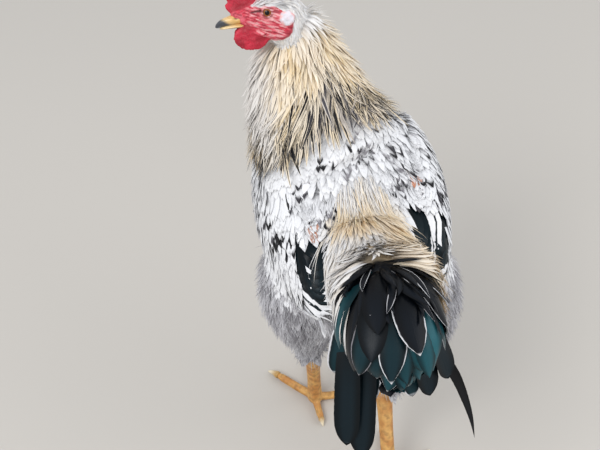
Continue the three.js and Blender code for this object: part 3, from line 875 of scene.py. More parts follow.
@dataclass
class Comb:
    """The single comb: a fan of blunt points over the crown, thinner towards the points."""

    pitch: float = 0.4
    inset: float = 0.15
    bevel: float = 1.3
    point_place: float = 0.55  # of a point in its step of the fan, and of the valley after it
    valley_place: float = 1.05
    point_half: float = 0.14  # half a point's width, as a share of the step

    def outline(self) -> np.ndarray:
        """The blade's outline in the head's middle plane, along and up."""

        def spot(degrees: float, radius: float) -> np.ndarray:
            angle = math.radians(degrees)
            return COMB_MIDDLE + radius * np.array([math.cos(angle), math.sin(angle)])

        step = (COMB_FROM - COMB_TO) / len(COMB_TIPS)
        line = [np.array(p, dtype=float) for p in COMB_FRONT]
        for i, tip in enumerate(COMB_TIPS):
            middle = COMB_FROM - (i + self.point_place) * step
            line.append(spot(middle + self.point_half * step, tip - 0.8))
            line.append(spot(middle - self.point_half * step, tip))
            if i < len(COMB_TIPS) - 1:
                line.append(spot(COMB_FROM - (i + self.valley_place) * step, COMB_VALLEY))
        line += [spot(COMB_TO - 4, COMB_VALLEY + 4), spot(COMB_TO + 4, COMB_ROOT + 6)]
        line += [spot(d, COMB_ROOT) for d in np.arange(COMB_TO + 40, COMB_FROM - 25, 40)]
        return np.array(line)

    def flat_field(self) -> Volume:
        """Distances to the outline on a flat grid, softened so that its corners round off."""
        line = self.outline()
        low = line.min(0) - 14.0
        size = np.ceil((line.max(0) + 14.0 - low) / self.pitch).astype(int)
        grid = np.stack(np.meshgrid(*[low[d] + self.pitch * np.arange(size[d]) for d in (0, 1)], indexing="ij"), -1)
        a, b = line, np.roll(line, -1, axis=0)
        off = grid[:, :, None] - a
        edge = b - a
        share = np.clip((off * edge).sum(-1) / (edge**2).sum(-1), 0.0, 1.0)
        away = np.linalg.norm(off - share[..., None] * edge, axis=-1).min(-1)
        rises = (a[:, 1] > grid[..., None, 1]) != (b[:, 1] > grid[..., None, 1])
        level = np.where(edge[:, 1] == 0, 1e-9, edge[:, 1])
        cross = a[:, 0] + (grid[..., None, 1] - a[:, 1]) / level * edge[:, 0]
        inside = (rises & (grid[..., None, 0] < cross)).sum(-1) % 2 == 1
        values = np.where(inside, -away, away)
        for _ in range(6):
            values = (values + sum(np.roll(values, s, axis=d) for s in (1, -1) for d in (0, 1))) / 5.0
        return Volume(np.append(low, 0.0), self.pitch, values[:, :, None].repeat(2, axis=2))

    def field_at(self, points: np.ndarray) -> np.ndarray:
        """The distance to the rounded blade at places in the head's frame."""
        flat = np.stack([points[..., 1], points[..., 2], np.zeros(points.shape[:-1])], -1)
        outline = self.flat_field().at(flat)
        radius = np.hypot(points[..., 1] - COMB_MIDDLE[0], points[..., 2] - COMB_MIDDLE[1])
        half = COMB_THICK / 2 * (1.3 - 0.75 * ease(14, 46, radius)) - self.inset
        lean = 0.9 * np.sin(radius / 7.0 + 1.0) * ease(18, 40, radius)
        bevel = np.minimum(half, self.bevel)
        aside = np.abs(points[..., 0] - lean) - (half - bevel)
        inward = outline + self.inset + bevel
        outside = np.hypot(np.maximum(aside, 0.0), np.maximum(inward, 0.0))
        return np.minimum(np.maximum(aside, inward), 0.0) + outside - bevel


@dataclass
class Face:
    """The bare parts of the head in the head's frame: lids, folds, wattles and lobes."""

    comb: Comb = field(default_factory=Comb)
    lid_radius: float = 3.75
    lid_tube: float = 0.9
    lid_depth: float = 0.6
    gaze: tuple = (1.0, -0.1, 0.04)
    ring_out: float = 4.95  # how far out along the gaze the lids' rim is
    eye_gap: float = 0.05  # between the eyeball and the skin
    flatten: float = 0.93  # the opening's height against its length
    comb_fillet: float = 2.2
    cere_fillet: float = 2.0
    wattle_fillet: float = 1.6
    lobe_fillet: float = 1.4
    lid_fillet: float = 0.8
    rim_fillet: float = 0.7

    def eye_axis(self, hand: int) -> np.ndarray:
        """The way an eye looks: sideways and a little forward."""
        return unit(np.array(self.gaze) * [hand, 1, 1])

    def wattle(self, points: np.ndarray) -> np.ndarray:
        """The two wattles: thin hanging discs with slack waves."""
        slack = 0.45 * np.sin(points[..., 1] / 3.3 + points[..., 2] / 6.0)
        flat = np.stack([np.abs(points[..., 0]) + slack, points[..., 1], points[..., 2]], -1)
        return ellipsoid(flat, WATTLE_AT, WATTLE_HALF - [0.5, 0.15, 0.15])

    def lobe(self, points: np.ndarray) -> np.ndarray:
        """The two white ear lobes."""
        return ellipsoid(mirrored(points), LOBE_AT, LOBE_HALF - 0.15)

    def shaped(self, base: np.ndarray, points: np.ndarray) -> np.ndarray:
        """Adds the face to the head's field.

        Args:
            base: the field so far.
            points: the grid's places in the head's frame.

        Returns:
            The new field.
        """
        sides = mirrored(points)
        made = merged(base, self.comb.field_at(points), self.comb_fillet)
        for ends, radius, fillet in FACE_FOLDS:
            made = merged(made, capsule(sides, ends, radius), fillet)
        made = merged(made, ellipsoid(points, CERE_AT, CERE_HALF), self.cere_fillet)
        made = merged(made, self.wattle(points), self.wattle_fillet)
        made = merged(made, self.lobe(points), self.lobe_fillet)
        for hand in HANDS:
            axis = self.eye_axis(hand)
            off = points - np.array([hand * EYE_SIDE, 0.0, 0.0])
            along = off @ axis
            ball = np.linalg.norm(off, axis=-1) - EYE_RADIUS
            flat = off - along[..., None] * axis
            radial = np.hypot(flat[..., 1] * self.flatten, np.hypot(flat[..., 0], flat[..., 2]))
            made = merged(made, np.maximum(ball - self.lid_depth, self.lid_radius - radial), self.lid_fillet)
            opening = np.maximum(ball - self.eye_gap, np.maximum(radial - self.lid_radius, -along))
            made = np.maximum(made, -opening)
            ring = np.hypot(radial - self.lid_radius, along - self.ring_out) - self.lid_tube
            made = merged(made, np.maximum(ring, self.eye_gap - ball), self.rim_fillet)
        return made


@dataclass
class SkinShape:
    """One closed surface under the whole coat: head, comb, wattles, neck, trunk, wings, tail and legs."""

    face: Face = field(default_factory=Face)
    head_step: float = 0.72
    leg_step: float = 1.5
    coarse: float = 5.0
    far: float = 15.0
    face_count: int = 176000
    volumes: dict = field(default_factory=dict)

    def measure(self) -> None:
        """Works out the distances to each of the body's forms."""
        # for each: the loft, points in a ring, rings, how far outside it, the grid's step and its margin
        forms = {
            "trunk": (FORMS.trunk, 72, 60, 0.0, 3.0, 15.0),
            "trunk_skin": (FORMS.trunk, 72, 60, -DEPTH_TRUNK, 3.0, 15.0),
            "neck": (FORMS.neck, 64, 50, -DEPTH_NECK, 2.5, 15.0),
            "dome": (FORMS.dome, 56, 40, -DEPTH_DOME, 3.0, 15.0),
            "loin": (FORMS.loin, 56, 40, 0.0, 3.0, 15.0),
            "skull": (FORMS.skull, 56, 44, -DEPTH_FACE, 1.0, 15.0),
            "throat": (FORMS.throat, 48, 36, -DEPTH_FACE, 1.0, 15.0),
        }
        for hand, side in HANDS.items():
            forms[f"wing_{side}"] = (FORMS.wings[hand], 48, 40, 0.0, 3.0, 20.0)
            forms[f"thigh_{side}"] = (FORMS.thigh(hand), 56, 40, -DEPTH_THIGH, 3.0, 15.0)
            forms[f"shank_{side}"] = (FORMS.shank(hand), 40, 50, -LEG_INSET, 1.2, 15.0)
            for toe in TOES[hand]:
                forms[f"toe_{side}_{toe[0]}"] = (toe_loft(hand, toe, 0.0, TOE_END), 28, 40, -LEG_INSET, 1.0, 8.0)
        for name, (loft, around, steps, grow, pitch, margin) in forms.items():
            self.volumes[name] = Volume.of_mesh(loft.grid(around, steps, grow), pitch, margin)

    def field_on(self, axes: list, with_head: bool) -> np.ndarray:
        """The skin's distances on a box grid.

        Args:
            axes: the grid's places.
            with_head: whether the face and comb are added too.

        Returns:
            The field.
        """
        size = tuple(len(a) for a in axes)
        made = np.full(size, self.far, dtype=np.float32)

        def add(name: str, fillet: float, limit: float = 15.0) -> None:
            spans, block = self.volumes[name].onto(axes)
            if limit < self.far:
                block = np.where(block > limit - 0.5, self.far, block)
            made[spans] = merged(made[spans], block, fillet)

        for name, fillet in (("trunk_skin", 1.0), ("neck", 24.0), ("dome", 14.0), ("loin", 8.0)):
            add(name, fillet)
        reach = WITHERS_RADIUS + WITHERS_FILLET
        spans, grid = window(axes, np.min(WITHERS, 0) - reach, np.max(WITHERS, 0) + reach)
        made[spans] = merged(made[spans], capsule(grid, WITHERS, WITHERS_RADIUS), WITHERS_FILLET)
        outside = np.full(size, self.far, dtype=np.float32)
        spans, block = self.volumes["trunk"].onto(axes)
        outside[spans] = block
        for side in HANDS.values():
            spans, oval = self.volumes[f"wing_{side}"].onto(axes)
            folded = np.maximum(oval + WING_SHRINK, outside[spans] - (WING_PROUD - DEPTH_WING))
            made[spans] = merged(made[spans], folded, WING_SHRINK)
        for side in HANDS.values():
            add(f"thigh_{side}", 14.0)
            add(f"shank_{side}", 5.0)
        for hand, side in HANDS.items():
            for toe in TOES[hand]:
                add(f"toe_{side}_{toe[0]}", 3.0, 8.0)
        made = np.maximum(made, -np.asarray(axes[2], dtype=np.float32)[None, None, :])  # the floor
        add("skull", 5.0)
        add("throat", 4.0)
        if with_head:
            spans, grid = window(axes, *self.head_box())
            made[spans] = self.face.shaped(made[spans], to_head(grid))
        return made

    def head_box(self) -> tuple:
        """The lowest and highest corners of the head with its comb and wattles."""
        corners = from_head(np.array(list(itertools.product(*HEAD_REACH.T)), dtype=float))
        return corners.min(0), corners.max(0)

    def even_field(self, pitch: float = 3.0) -> Volume:
        """The skin's distances on an even grid, which the feathers are laid over."""
        low, high = np.array([-125.0, -185.0, -20.0]), np.array([125.0, 205.0, 520.0])
        axes = [np.arange(low[d], high[d], pitch) for d in range(3)]
        return Volume(low, pitch, self.field_on(axes, False))

    def surface(self) -> tuple:
        """The skin's mesh: the zero surface on a grid that is fine at the head and the legs.

        Returns:
            Points and quads.
        """
        low, high = self.head_box()
        fine = self.head_step
        axes = [
            graded(-118, 122, self.coarse, [(low[0], high[0], fine), (-62, 74, 3.0)]),
            graded(-190, 195, self.coarse, [(low[1], high[1], fine), (-78, 128, 2.2)]),
            graded(-6, 545, 6.5, [(low[2] + 6, high[2], fine), (-2, 104, self.leg_step)]),
        ]
        log.info("skin grid %s", [len(a) for a in axes])
        return nets(axes, self.field_on(axes, True))


# ---------------------------------------------------------------- the coat's lie
# Places over the body and the way that the feathers point there.
LIE = np.array([
    # head and neck
    [62, -112, 505, -0.5, 0.45, -0.75], [30, -96, 478, -0.15, 0.45, -0.9], [28, -82, 440, 0.0, 0.3, -0.95],
    [24, -52, 395, 0.35, 0.5, -0.77], [50, -62, 398, 0.55, 0.38, -0.72], [4, -36, 368, 0.1, 0.93, -0.36],
    [-14, -70, 400, -0.2, 0.55, -0.8], [62, -122, 440, 0.1, -0.1, -1.0], [74, -122, 400, 0.4, 0.0, -0.88],
    [76, -88, 362, 0.6, 0.3, -0.72], [-8, -112, 430, -0.2, 0.1, -0.97], [-24, -108, 395, -0.4, 0.15, -0.9],
    [-44, -92, 365, -0.5, 0.5, -0.7], [34, -158, 420, 0.1, -0.25, -0.96], [24, -158, 375, 0.0, -0.3, -0.95],
    # breast and belly
    [-9, -186, 305, 0.0, 0.15, -1.0], [50, -160, 310, 0.3, 0.25, -0.9], [-66, -158, 310, -0.3, 0.25, -0.9],
    [-9, -165, 255, 0.0, 0.6, -0.8], [-9, -110, 215, 0.0, 0.95, -0.3], [-6, -20, 196, 0.0, 0.98, -0.15],
    [0, 60, 208, 0.0, 0.95, -0.2], [0, 110, 240, 0.0, 0.75, -0.65],
    # back, wings and rump
    [62, -92, 345, 0.3, 0.85, -0.3], [-74, -92, 345, -0.3, 0.85, -0.3], [-5, 0, 362, 0.0, 1.0, -0.05],
    [82, -60, 300, 0.0, 0.97, -0.22], [-96, -60, 300, 0.0, 0.97, -0.22], [72, 10, 300, -0.1, 0.96, -0.25],
    [-84, 10, 300, 0.1, 0.96, -0.25], [50, 66, 292, -0.2, 0.9, -0.4], [-54, 66, 292, 0.2, 0.9, -0.4],
    [0, 70, 356, 0.0, 0.95, -0.2], [44, 60, 340, 0.35, 0.7, -0.6], [-44, 64, 340, -0.35, 0.7, -0.6],
    # tail
    [2, 112, 370, 0.0, 0.88, -0.42], [3, 150, 350, 0.0, 0.55, -0.85], [5, 180, 305, 0.0, 0.1, -1.0],
    [50, 110, 330, 0.25, 0.55, -0.8], [-46, 116, 330, -0.25, 0.55, -0.8], [44, 150, 300, 0.0, 0.2, -0.98],
    [-38, 150, 300, 0.0, 0.2, -0.98],
    # flanks and thighs
    [66, 60, 245, 0.15, 0.55, -0.85], [-66, 60, 245, -0.15, 0.55, -0.85], [78, -20, 235, 0.2, 0.35, -0.9],
    [-88, -10, 235, -0.2, 0.35, -0.9], [47, -60, 200, 0.0, 0.25, -0.97], [90, -16, 190, 0.05, 0.3, -0.95],
    [47, 30, 180, 0.0, 0.3, -0.95], [45, -14, 130, 0.0, 0.1, -1.0], [-100, 20, 190, -0.05, 0.3, -0.95],
    [-56, 66, 180, 0.0, 0.3, -0.95], [-56, -30, 190, 0.0, 0.3, -0.95], [-45, 42, 130, 0.1, 0.1, -1.0],
])


# The same for the left half of the head, in its own frame.
HEAD_LIE = np.array([
    [0, -18, 9, 0, 1, 0.35], [0, 4, 16, 0, 1, 0.15], [10, -14, 5, 0.05, 1, 0.2], [14, 4, 8, 0.05, 1, 0.05],
    [0, 24, 14, 0, 0.8, -0.6], [15, 20, 6, 0.1, 0.85, -0.5], [15, 28, -4, 0.1, 0.5, -0.85],
    [0, 38, 0, 0, 0.3, -0.95], [12, 26, -18, 0.1, 0.45, -0.9], [8, 12, -30, 0.1, 0.4, -0.9],
    [0, -6, -26, 0, 0.5, -0.85],
])


def whole_lie() -> tuple:
    """The places, ways and reaches of the body's lie and of both halves of the head's."""
    both = np.vstack([HEAD_LIE, HEAD_LIE * [-1, 1, 1, -1, 1, 1]])
    places = np.vstack([LIE[:, :3], from_head(both[:, :3])])
    ways = np.vstack([LIE[:, 3:], both[:, 3:] @ HEAD_AXES.T])
    return places, unit(ways), np.concatenate([np.full(len(LIE), 34.0), np.full(len(both), 13.0)])


@dataclass
class Coat:
    """Lays feathers over the skin along the coat's lie."""

    skin: Volume
    lie: tuple = field(default_factory=whole_lie)
    # over the front of the tail the feathers part to both sides
    part_push: float = 1.1
    part_band: tuple = (90, 16)
    part_height: tuple = (322, 342)
    part_middle: float = 4.0
    part_width: float = 12.0
    climb: float = 0.30  # how much of a step a limp line may rise or sink
    rise_power: float = 0.75  # how early a line reaches its rise

    def heading(self, points: np.ndarray) -> np.ndarray:
        """The way the feathers point: the mean of the known ways, weighed by a bell of the distance."""
        places, ways, reach = self.lie
        power = -((points[..., None, :] - places) ** 2).sum(-1) / (2 * reach**2)
        weight = np.exp(power - power.max(-1, keepdims=True))
        aim = unit(weight @ ways)
        x, y, z = np.moveaxis(points, -1, 0)
        push = self.part_push * hump(*self.part_band, y) * ease(*self.part_height, z)
        aim[..., 0] += push * np.tanh((x - self.part_middle) / self.part_width)
        return unit(aim)

    def lines(self, roots: np.ndarray, length: np.ndarray, rise: np.ndarray, start: float, steps: int,
              stiff: float, sway: np.ndarray, lift: np.ndarray) -> tuple:
        """Runs each feather's middle line from its root, staying a growing height over the skin.

        Each step goes along the heading, kept straight by the stiffness, and then moves out or in to the
        wanted height. A stiff feather bridges a hollow.

        Args:
            roots: root places on the skin.
            length: lengths, in mm.
            rise: height of each tip over the skin.
            start: height of the roots.
            steps: points on a line.
            stiff: share of the last step's way that is kept.
            sway: how far each heading is turned aside, in radians.
            lift: how far each tip stands out more than the rise, in mm.

        Returns:
            Lines, sideways directions and outward directions.
        """
        share = np.linspace(0.0, 1.0, steps)
        here = roots + self.skin.normal(roots) * (start - self.skin.at(roots))[:, None]
        step = length / (steps - 1)
        line, outs, sides = [here], [], []
        way = None
        for k in range(steps):
            out = self.skin.normal(here)
            aim = self.heading(here)
            aim = unit(aim - out * (aim * out).sum(-1, keepdims=True))
            aside = np.cross(aim, out)
            aim = unit(aim * np.cos(sway)[:, None] + aside * np.sin(sway)[:, None])
            way = aim if way is None else unit(aim * (1 - stiff) + way * stiff)
            outs.append(out)
            sides.append(unit(np.cross(way, out)))
            if k == steps - 1:
                break
            there = here + way * step[:, None]
            height = start + (rise - start) * share[k + 1] ** self.rise_power + lift * share[k + 1] ** 2
            want = height - self.skin.at(there)
            limit = self.climb * step * (1 - 0.6 * stiff)
            want = np.clip(want, -limit, np.maximum(limit * 3.0, 2.0))
            there = there + self.skin.normal(there) * want[:, None]
            way = unit(there - here)
            here = there
            line.append(here)
        return np.stack(line, 1), np.stack(sides, 1), np.stack(outs, 1)


# ---------------------------------------------------------------- vanes
class Section(Enum):
    """The closed cross-section of a vane, as places across (-1 to 1) and through it."""

    LENS = ((-1.0, 0.0), (0.0, 1.0), (1.0, 0.0), (0.0, -1.0))
    WIDE = ((-1.0, 0.0), (-0.55, 0.9), (0.0, 1.0), (0.55, 0.9),
            (1.0, 0.0), (0.55, -0.9), (0.0, -1.0), (-0.55, -0.9))
    HAIR = ((-1.0, -0.5), (0.0, 1.0), (1.0, -0.5))

    def rows(self) -> np.ndarray:
        """The section's points, in order round it."""
        return np.array(self.value)


@dataclass(frozen=True)
class Outline:
    """A vane's half width along it: a rise to the widest place, then a fall to the tip.

    Before the peak share the width is 1 - (1 - s/peak)^2, from a narrow root; after it, 1 - x^blunt.
    """

    peak: float = 0.4
    blunt: float = 2.0
    root: float = 0.25

    def width(self, share: np.ndarray) -> np.ndarray:
        """The width at shares of the length, from 0 to 1."""
        early = self.root + (1 - self.root) * (1 - (1 - np.minimum(share / self.peak, 1.0)) ** 2)
        late = 1 - np.clip((share - self.peak) / (1 - self.peak), 0.0, 1.0) ** self.blunt
        return early * late


@dataclass
class Vanes:
    """Many thin closed vanes built as whole arrays."""

    lines: np.ndarray
    sides: np.ndarray
    outs: np.ndarray
    half: np.ndarray
    outline: Outline
    section: Section
    thick: float = 0.16
    camber: float = 0.18
    ragged: float = 0.0
    seed: int = 1

    def build(self) -> tuple:
        """Sweeps the section along each line and closes both ends with a pole.

        A point is the line's point, plus the side direction times the width, plus the outward direction
        times the thickness less the camber, which falls with the square of the place across.

        Returns:
            Points, quads, triangles and the place across and along of each point.
        """
        count, steps, _ = self.lines.shape
        rows = self.section.rows()
        around = len(rows)
        share = 1 - (1 - np.linspace(0.0, 1.0, steps)) ** 1.15
        share[-1] = 0.985
        wide = self.half[:, None] * self.outline.width(share)[None]
        if self.ragged:
            chance = np.random.default_rng(self.seed)
            wide = wide * (1 + self.ragged * chance.uniform(-1, 1, wide.shape) * (share > 0.3))
        place = share * (steps - 1)
        base = np.minimum(place.astype(int), steps - 2)
        part = (place - base)[None, :, None]

        def spread(values: np.ndarray) -> np.ndarray:
            return values[:, base] * (1 - part) + values[:, base + 1] * part

        line, side, out = spread(self.lines), unit(spread(self.sides)), unit(spread(self.outs))
        x, z = rows[:, 0], rows[:, 1]
        deep = self.thick * np.minimum(1.0, wide / (0.5 * self.half[:, None]))
        across = wide[..., None] * x
        through = deep[..., None] * z - self.camber * wide[..., None] * x**2
        rings = line[:, :, None] + side[:, :, None] * across[..., None] + out[:, :, None] * through[..., None]
        tip = self.lines[:, -1]
        points = np.concatenate([rings.reshape(count, -1, 3), self.lines[:, :1], tip[:, None]], axis=1)
        each = steps * around + 2
        quad, tri = tube(steps, around)
        start = (np.arange(count) * each)[:, None, None]
        quads, tris = (quad + start).reshape(-1, 4), (tri + start).reshape(-1, 3)
        u = np.concatenate([np.tile(x, steps), [0.0, 0.0]])
        v = np.concatenate([np.repeat(share, around), [0.0, 1.0]])
        flat = np.tile(np.stack([u * 0.5 + 0.5, v], -1), (count, 1))
        return points.reshape(-1, 3), quads, tris, flat


PATCH = 0.003  # width of each feather's patch on the bake map


@dataclass
class Batch:
    """Some feathers ready to be joined into a piece."""

    vanes: Vanes
    look: Look
    root_uv: np.ndarray
    patch: float = PATCH

    def arrays(self) -> dict:
        """Points, faces and every value that the piece carries."""
        points, quads, tris, flat = self.vanes.build()
        each = len(points) // len(self.root_uv)

        def spread(values: np.ndarray) -> np.ndarray:
            return np.repeat(values, each, axis=0)

        pattern = np.column_stack([self.look.stripe, self.look.tip, self.look.shift])
        return {
            "points": points,
            "quads": quads,
            "tris": tris,
            "vane": flat,
            "bake": np.clip(spread(self.root_uv) + (flat - 0.5) * self.patch, 0.0, 1.0),
            "ground": spread(self.look.ground),
            "mark": spread(self.look.mark),
            "pattern": spread(pattern),
        }


def coat_piece(name: str, batches: list, material: bpy.types.Material, slot: str,
               nodes: tuple = ()) -> bpy.types.Object:
    """Joins batches of feathers into one piece.

    Args:
        name: the piece's name.
        batches: what to join.
        material: its material.
        slot: the record's slot; not used.
        nodes: solids that it stands for.

    Returns:
        The piece.
    """
    parts = [b.arrays() for b in batches]
    starts = np.cumsum([0] + [len(p["points"]) for p in parts[:-1]])
    whole = {k: np.concatenate([p[k] for p in parts]) for k in parts[0] if k not in ("quads", "tris")}
    quads = np.concatenate([p["quads"] + s for p, s in zip(parts, starts)])
    tris = np.concatenate([p["tris"] + s for p, s in zip(parts, starts)])
    made = new_piece(name, whole["points"], quads, tris)
    mesh = made.data
    edge_ends = pulled(mesh.edges, "vertices", 2)
    rim = np.abs(whole["vane"][:, 0] - 0.5) > 0.499
    sharp = mesh.attributes.new("sharp_edge", "BOOLEAN", "EDGE")
    sharp.data.foreach_set("value", rim[edge_ends].all(1))
    add_uv(made, "vane", whole["vane"])
    add_uv(made, "OFBake", whole["bake"])
    add_values(made, "ground", whole["ground"])
    add_values(made, "mark", whole["mark"])
    add_values(made, "pattern", whole["pattern"], "FLOAT_VECTOR")
    finished(made, material, slot, *nodes)
    log.info("%s: %d triangles", name, 2 * len(quads) + len(tris))
    return made


# ---------------------------------------------------------------- placing the roots
@dataclass
class Tract:
    """Rows of feather roots over one loft, staggered as tiles are. The arc is in half turns."""

    loft: Loft
    grow: float
    along: float
    around: float
    span: tuple = (0.0, 1.0)
    arc: tuple = (0.0, 2.0)
    jitter: float = 0.3

    def roots(self, seed: int) -> tuple:
        """Root places row by row, each row set half a step aside from the last.

        Args:
            seed: picks how far each root is off its place.

        Returns:
            Root places, and their places on the loft's unwrap, from 0 to 1.
        """
        chance = np.random.default_rng(seed)
        t = np.linspace(*self.span, 200)
        middle, _ = self.loft.curve(PLACE, t)
        reach, _ = self.loft.curve(REACH, t)
        run = np.concatenate([[0.0], np.cumsum(np.linalg.norm(np.diff(middle, axis=0), axis=1))])
        rows = max(2, int(run[-1] / self.along))
        ts = np.interp((np.arange(rows) + 0.5) / rows * run[-1], run, t)
        first, last = (share * math.pi for share in self.arc)
        turn = last - first
        tt, aa = [], []
        for row, t_row in enumerate(ts):
            wide = np.interp(t_row, t, reach[:, 0]) + self.grow
            tall = np.interp(t_row, t, reach[:, 1:].mean(1)) + self.grow
            girth = math.pi * (wide + tall) * turn / (2 * math.pi)
            number = max(3, int(girth / self.around))
            place = (np.arange(number) + 0.5 * (row % 2) + 0.25) / number
            place = place + chance.uniform(-1, 1, number) * self.jitter / number
            aa.append(first + place * turn)
            tt.append(t_row + chance.uniform(-1, 1, number) * self.jitter * (ts[1] - ts[0]))
        tt, aa = np.clip(np.concatenate(tt), 0.004, 0.996), np.concatenate(aa)
        unwrapped = np.stack([(aa - first) / turn, (tt - self.span[0]) / (self.span[1] - self.span[0])], -1)
        return self.loft.surface(tt, aa, self.grow), np.clip(0.01 + 0.98 * unwrapped, 0.005, 0.995)


Rule = Callable[[np.ndarray], np.ndarray]
Painter = Callable[[np.ndarray, np.random.Generator], Look]
LOCK_LENGTH = 24.0  # the wave length of the locks that feathers gather in


@dataclass
class Layer:
    """One layer of the coat: where it grows, the sizes of its feathers, how they lie and their colours.

    keep says which roots stay, and near how far they may be from the skin. look gives the colours from
    the tips and a random source. size gives each root's share between the least and the greatest sizes,
    and flat the share by which its rise is lessened.
    """

    tract: Tract
    seed: int
    keep: Rule
    look: Painter
    length: tuple
    half: tuple
    rise: float
    near: float
    outline: Outline = Outline(0.5, 2.4, 0.3)
    size: Rule = None
    flat: Rule = None
    section: Section = Section.LENS
    start: float = 0.5
    steps: int = 7
    stiff: float = 0.3
    sway: float = 0.13
    lift: float = 0.5
    thick: float = 0.08
    camber: float = 0.1
    ragged: float = 0.06
    lock: float = 0.0
    steep: float = 1.0

    def grown(self, coat: Coat) -> Batch:
        """Grows the layer's feathers over the coat's skin."""
        chance = np.random.default_rng(self.seed)
        roots, unwrapped = self.tract.roots(self.seed)
        kept = (np.abs(coat.skin.at(roots)) < self.near) & self.keep(roots)
        roots, unwrapped = roots[kept], unwrapped[kept]
        count = len(roots)
        share = self.size(roots) if self.size else chance.uniform(0, 1, count)
        vary = chance.uniform(0.88, 1.12, count)
        length = (self.length[0] + (self.length[1] - self.length[0]) * share) * vary
        half = (self.half[0] + (self.half[1] - self.half[0]) * share) * chance.uniform(0.9, 1.1, count)
        sway = chance.normal(0, self.sway, count) + self.lock * waves(roots, LOCK_LENGTH, self.seed)
        lift = chance.uniform(0, self.lift, count)
        rise = np.minimum(self.rise, self.steep * length) * chance.uniform(0.85, 1.05, count)
        rise = rise * (1 - self.flat(roots)) if self.flat else rise
        line, side, out = coat.lines(roots, length, rise, self.start, self.steps, self.stiff, sway, lift)
        roll = chance.normal(0, 0.05, count)[:, None, None]
        side, out = side * np.cos(roll) + out * np.sin(roll), out * np.cos(roll) - side * np.sin(roll)
        look = self.look(line[:, -1], chance)
        vanes = Vanes(line, side, out, half, self.outline, self.section, self.thick, self.camber, self.ragged,
                      self.seed)
        log.info("layer %d: %d feathers", self.seed, count)
        return Batch(vanes, look, unwrapped)


@dataclass
class Strands(Layer):
    """A layer of fine hair-like strands in place of flat vanes."""

    outline: Outline = Outline(0.3, 1.4, 0.6)
    section: Section = Section.HAIR
    steps: int = 5
    sway: float = 0.4
    thick: float = 0.2
    camber: float = 0.0


# ---------------------------------------------------------------- shader building
@dataclass
class Wire:
    """A value in a node graph. Arithmetic on it adds nodes."""

    graph: "Graph"
    socket: bpy.types.NodeSocket

    def __add__(self, other: object) -> "Wire":
        """The sum."""
        return self.graph.math("ADD", self, other)

    def __sub__(self, other: object) -> "Wire":
        """The difference."""
        return self.graph.math("SUBTRACT", self, other)

    def __rsub__(self, other: object) -> "Wire":
        """A constant less the value."""
        return self.graph.math("SUBTRACT", other, self)

    def __mul__(self, other: object) -> "Wire":
        """The product."""
        return self.graph.math("MULTIPLY", self, other)

    def __abs__(self) -> "Wire":
        """The value without its sign."""
        return self.graph.math("ABSOLUTE", self, 0.0)


@dataclass
class Graph:
    """A short way to add nodes to a material or node group."""

    tree: bpy.types.NodeTree

    def feed(self, target: bpy.types.NodeSocket, value: object) -> None:
        """Links a wire to an input, or sets the input to a constant."""
        if isinstance(value, Wire):
            self.tree.links.new(value.socket, target)
        else:
            target.default_value = value

    def node(self, kind: str, inputs: dict = None, **settings) -> bpy.types.Node:
        """Adds a node, sets its properties and feeds its inputs.

        Args:
            kind: the node's type.
            inputs: a constant or a wire for each input, by name or number.
            **settings: the node's own properties.

        Returns:
            The node.
        """
        node = self.tree.nodes.new(kind)
        for key, value in settings.items():
            setattr(node, key, value)
        for key, value in (inputs or {}).items():
            self.feed(node.inputs[key], value)
        return node

    def add(self, kind: str, inputs: dict = None, output: object = 0, **settings) -> Wire:
        """Adds a node as node() does, and gives the wire out of one of its outputs."""
        return Wire(self, self.node(kind, inputs, **settings).outputs[output])

    def math(self, operation: str, first: object, second: object, clamp: bool = False) -> Wire:
        """One step of arithmetic."""
        return self.add("ShaderNodeMath", {0: first, 1: second}, operation=operation, use_clamp=clamp)

    def step(self, value: object, low: object, high: object) -> Wire:
        """A smooth step from 0 at low to 1 at high."""
        return self.add("ShaderNodeMapRange", {0: value, 1: low, 2: high}, interpolation_type="SMOOTHSTEP")

    def mix(self, share: object, first: object, second: object, how: str = "MIX") -> Wire:
        """A mix of two colours."""
        inputs = {0: share, 6: first, 7: second}
        return self.add("ShaderNodeMix", inputs, 2, data_type="RGBA", blend_type=how)

    def shaded(self, colour: object, tone: Wire) -> Wire:
        """A colour multiplied by a tone."""
        return self.mix(1.0, colour, self.add("ShaderNodeCombineColor", {0: tone, 1: tone, 2: tone}), "MULTIPLY")

    def attribute(self, name: str, output: str = "Color") -> Wire:
        """A value that the mesh carries."""
        return self.add("ShaderNodeAttribute", None, output, attribute_name=name)

    def place(self) -> Wire:
        """Places in the piece's own coordinates, in metres."""
        return self.add("ShaderNodeTexCoord", None, "Object")

    def joined(self, first: Wire, second: Wire) -> Wire:
        """A vector of two values and a zero."""
        return self.add("ShaderNodeCombineXYZ", {0: first, 1: second})

    def parts(self, vector: Wire) -> list:
        """A vector's three values."""
        return [Wire(self, socket) for socket in self.node("ShaderNodeSeparateXYZ", {0: vector}).outputs]

    def noise(self, where: Wire, scale: float, detail: float) -> Wire:
        """Cloudy noise, about 0 to 1."""
        inputs = {"Vector": where, "Scale": scale, "Detail": detail}
        return self.add("ShaderNodeTexNoise", inputs, "Fac")

    def cells(self, where: Wire, scale: float, feature: str = "F1") -> Wire:
        """Distances in a pattern of cells."""
        return self.add("ShaderNodeTexVoronoi", {"Vector": where, "Scale": scale}, "Distance", feature=feature)

    def bump(self, height: Wire, strength: float, depth: float = 0.0004) -> Wire:
        """A normal that is bent by a height."""
        return self.add("ShaderNodeBump", {"Strength": strength, "Distance": depth, "Height": height})


def rgba(colour: np.ndarray) -> tuple:
    """A colour with full alpha, for a socket."""
    return (*[float(c) for c in colour], 1.0)


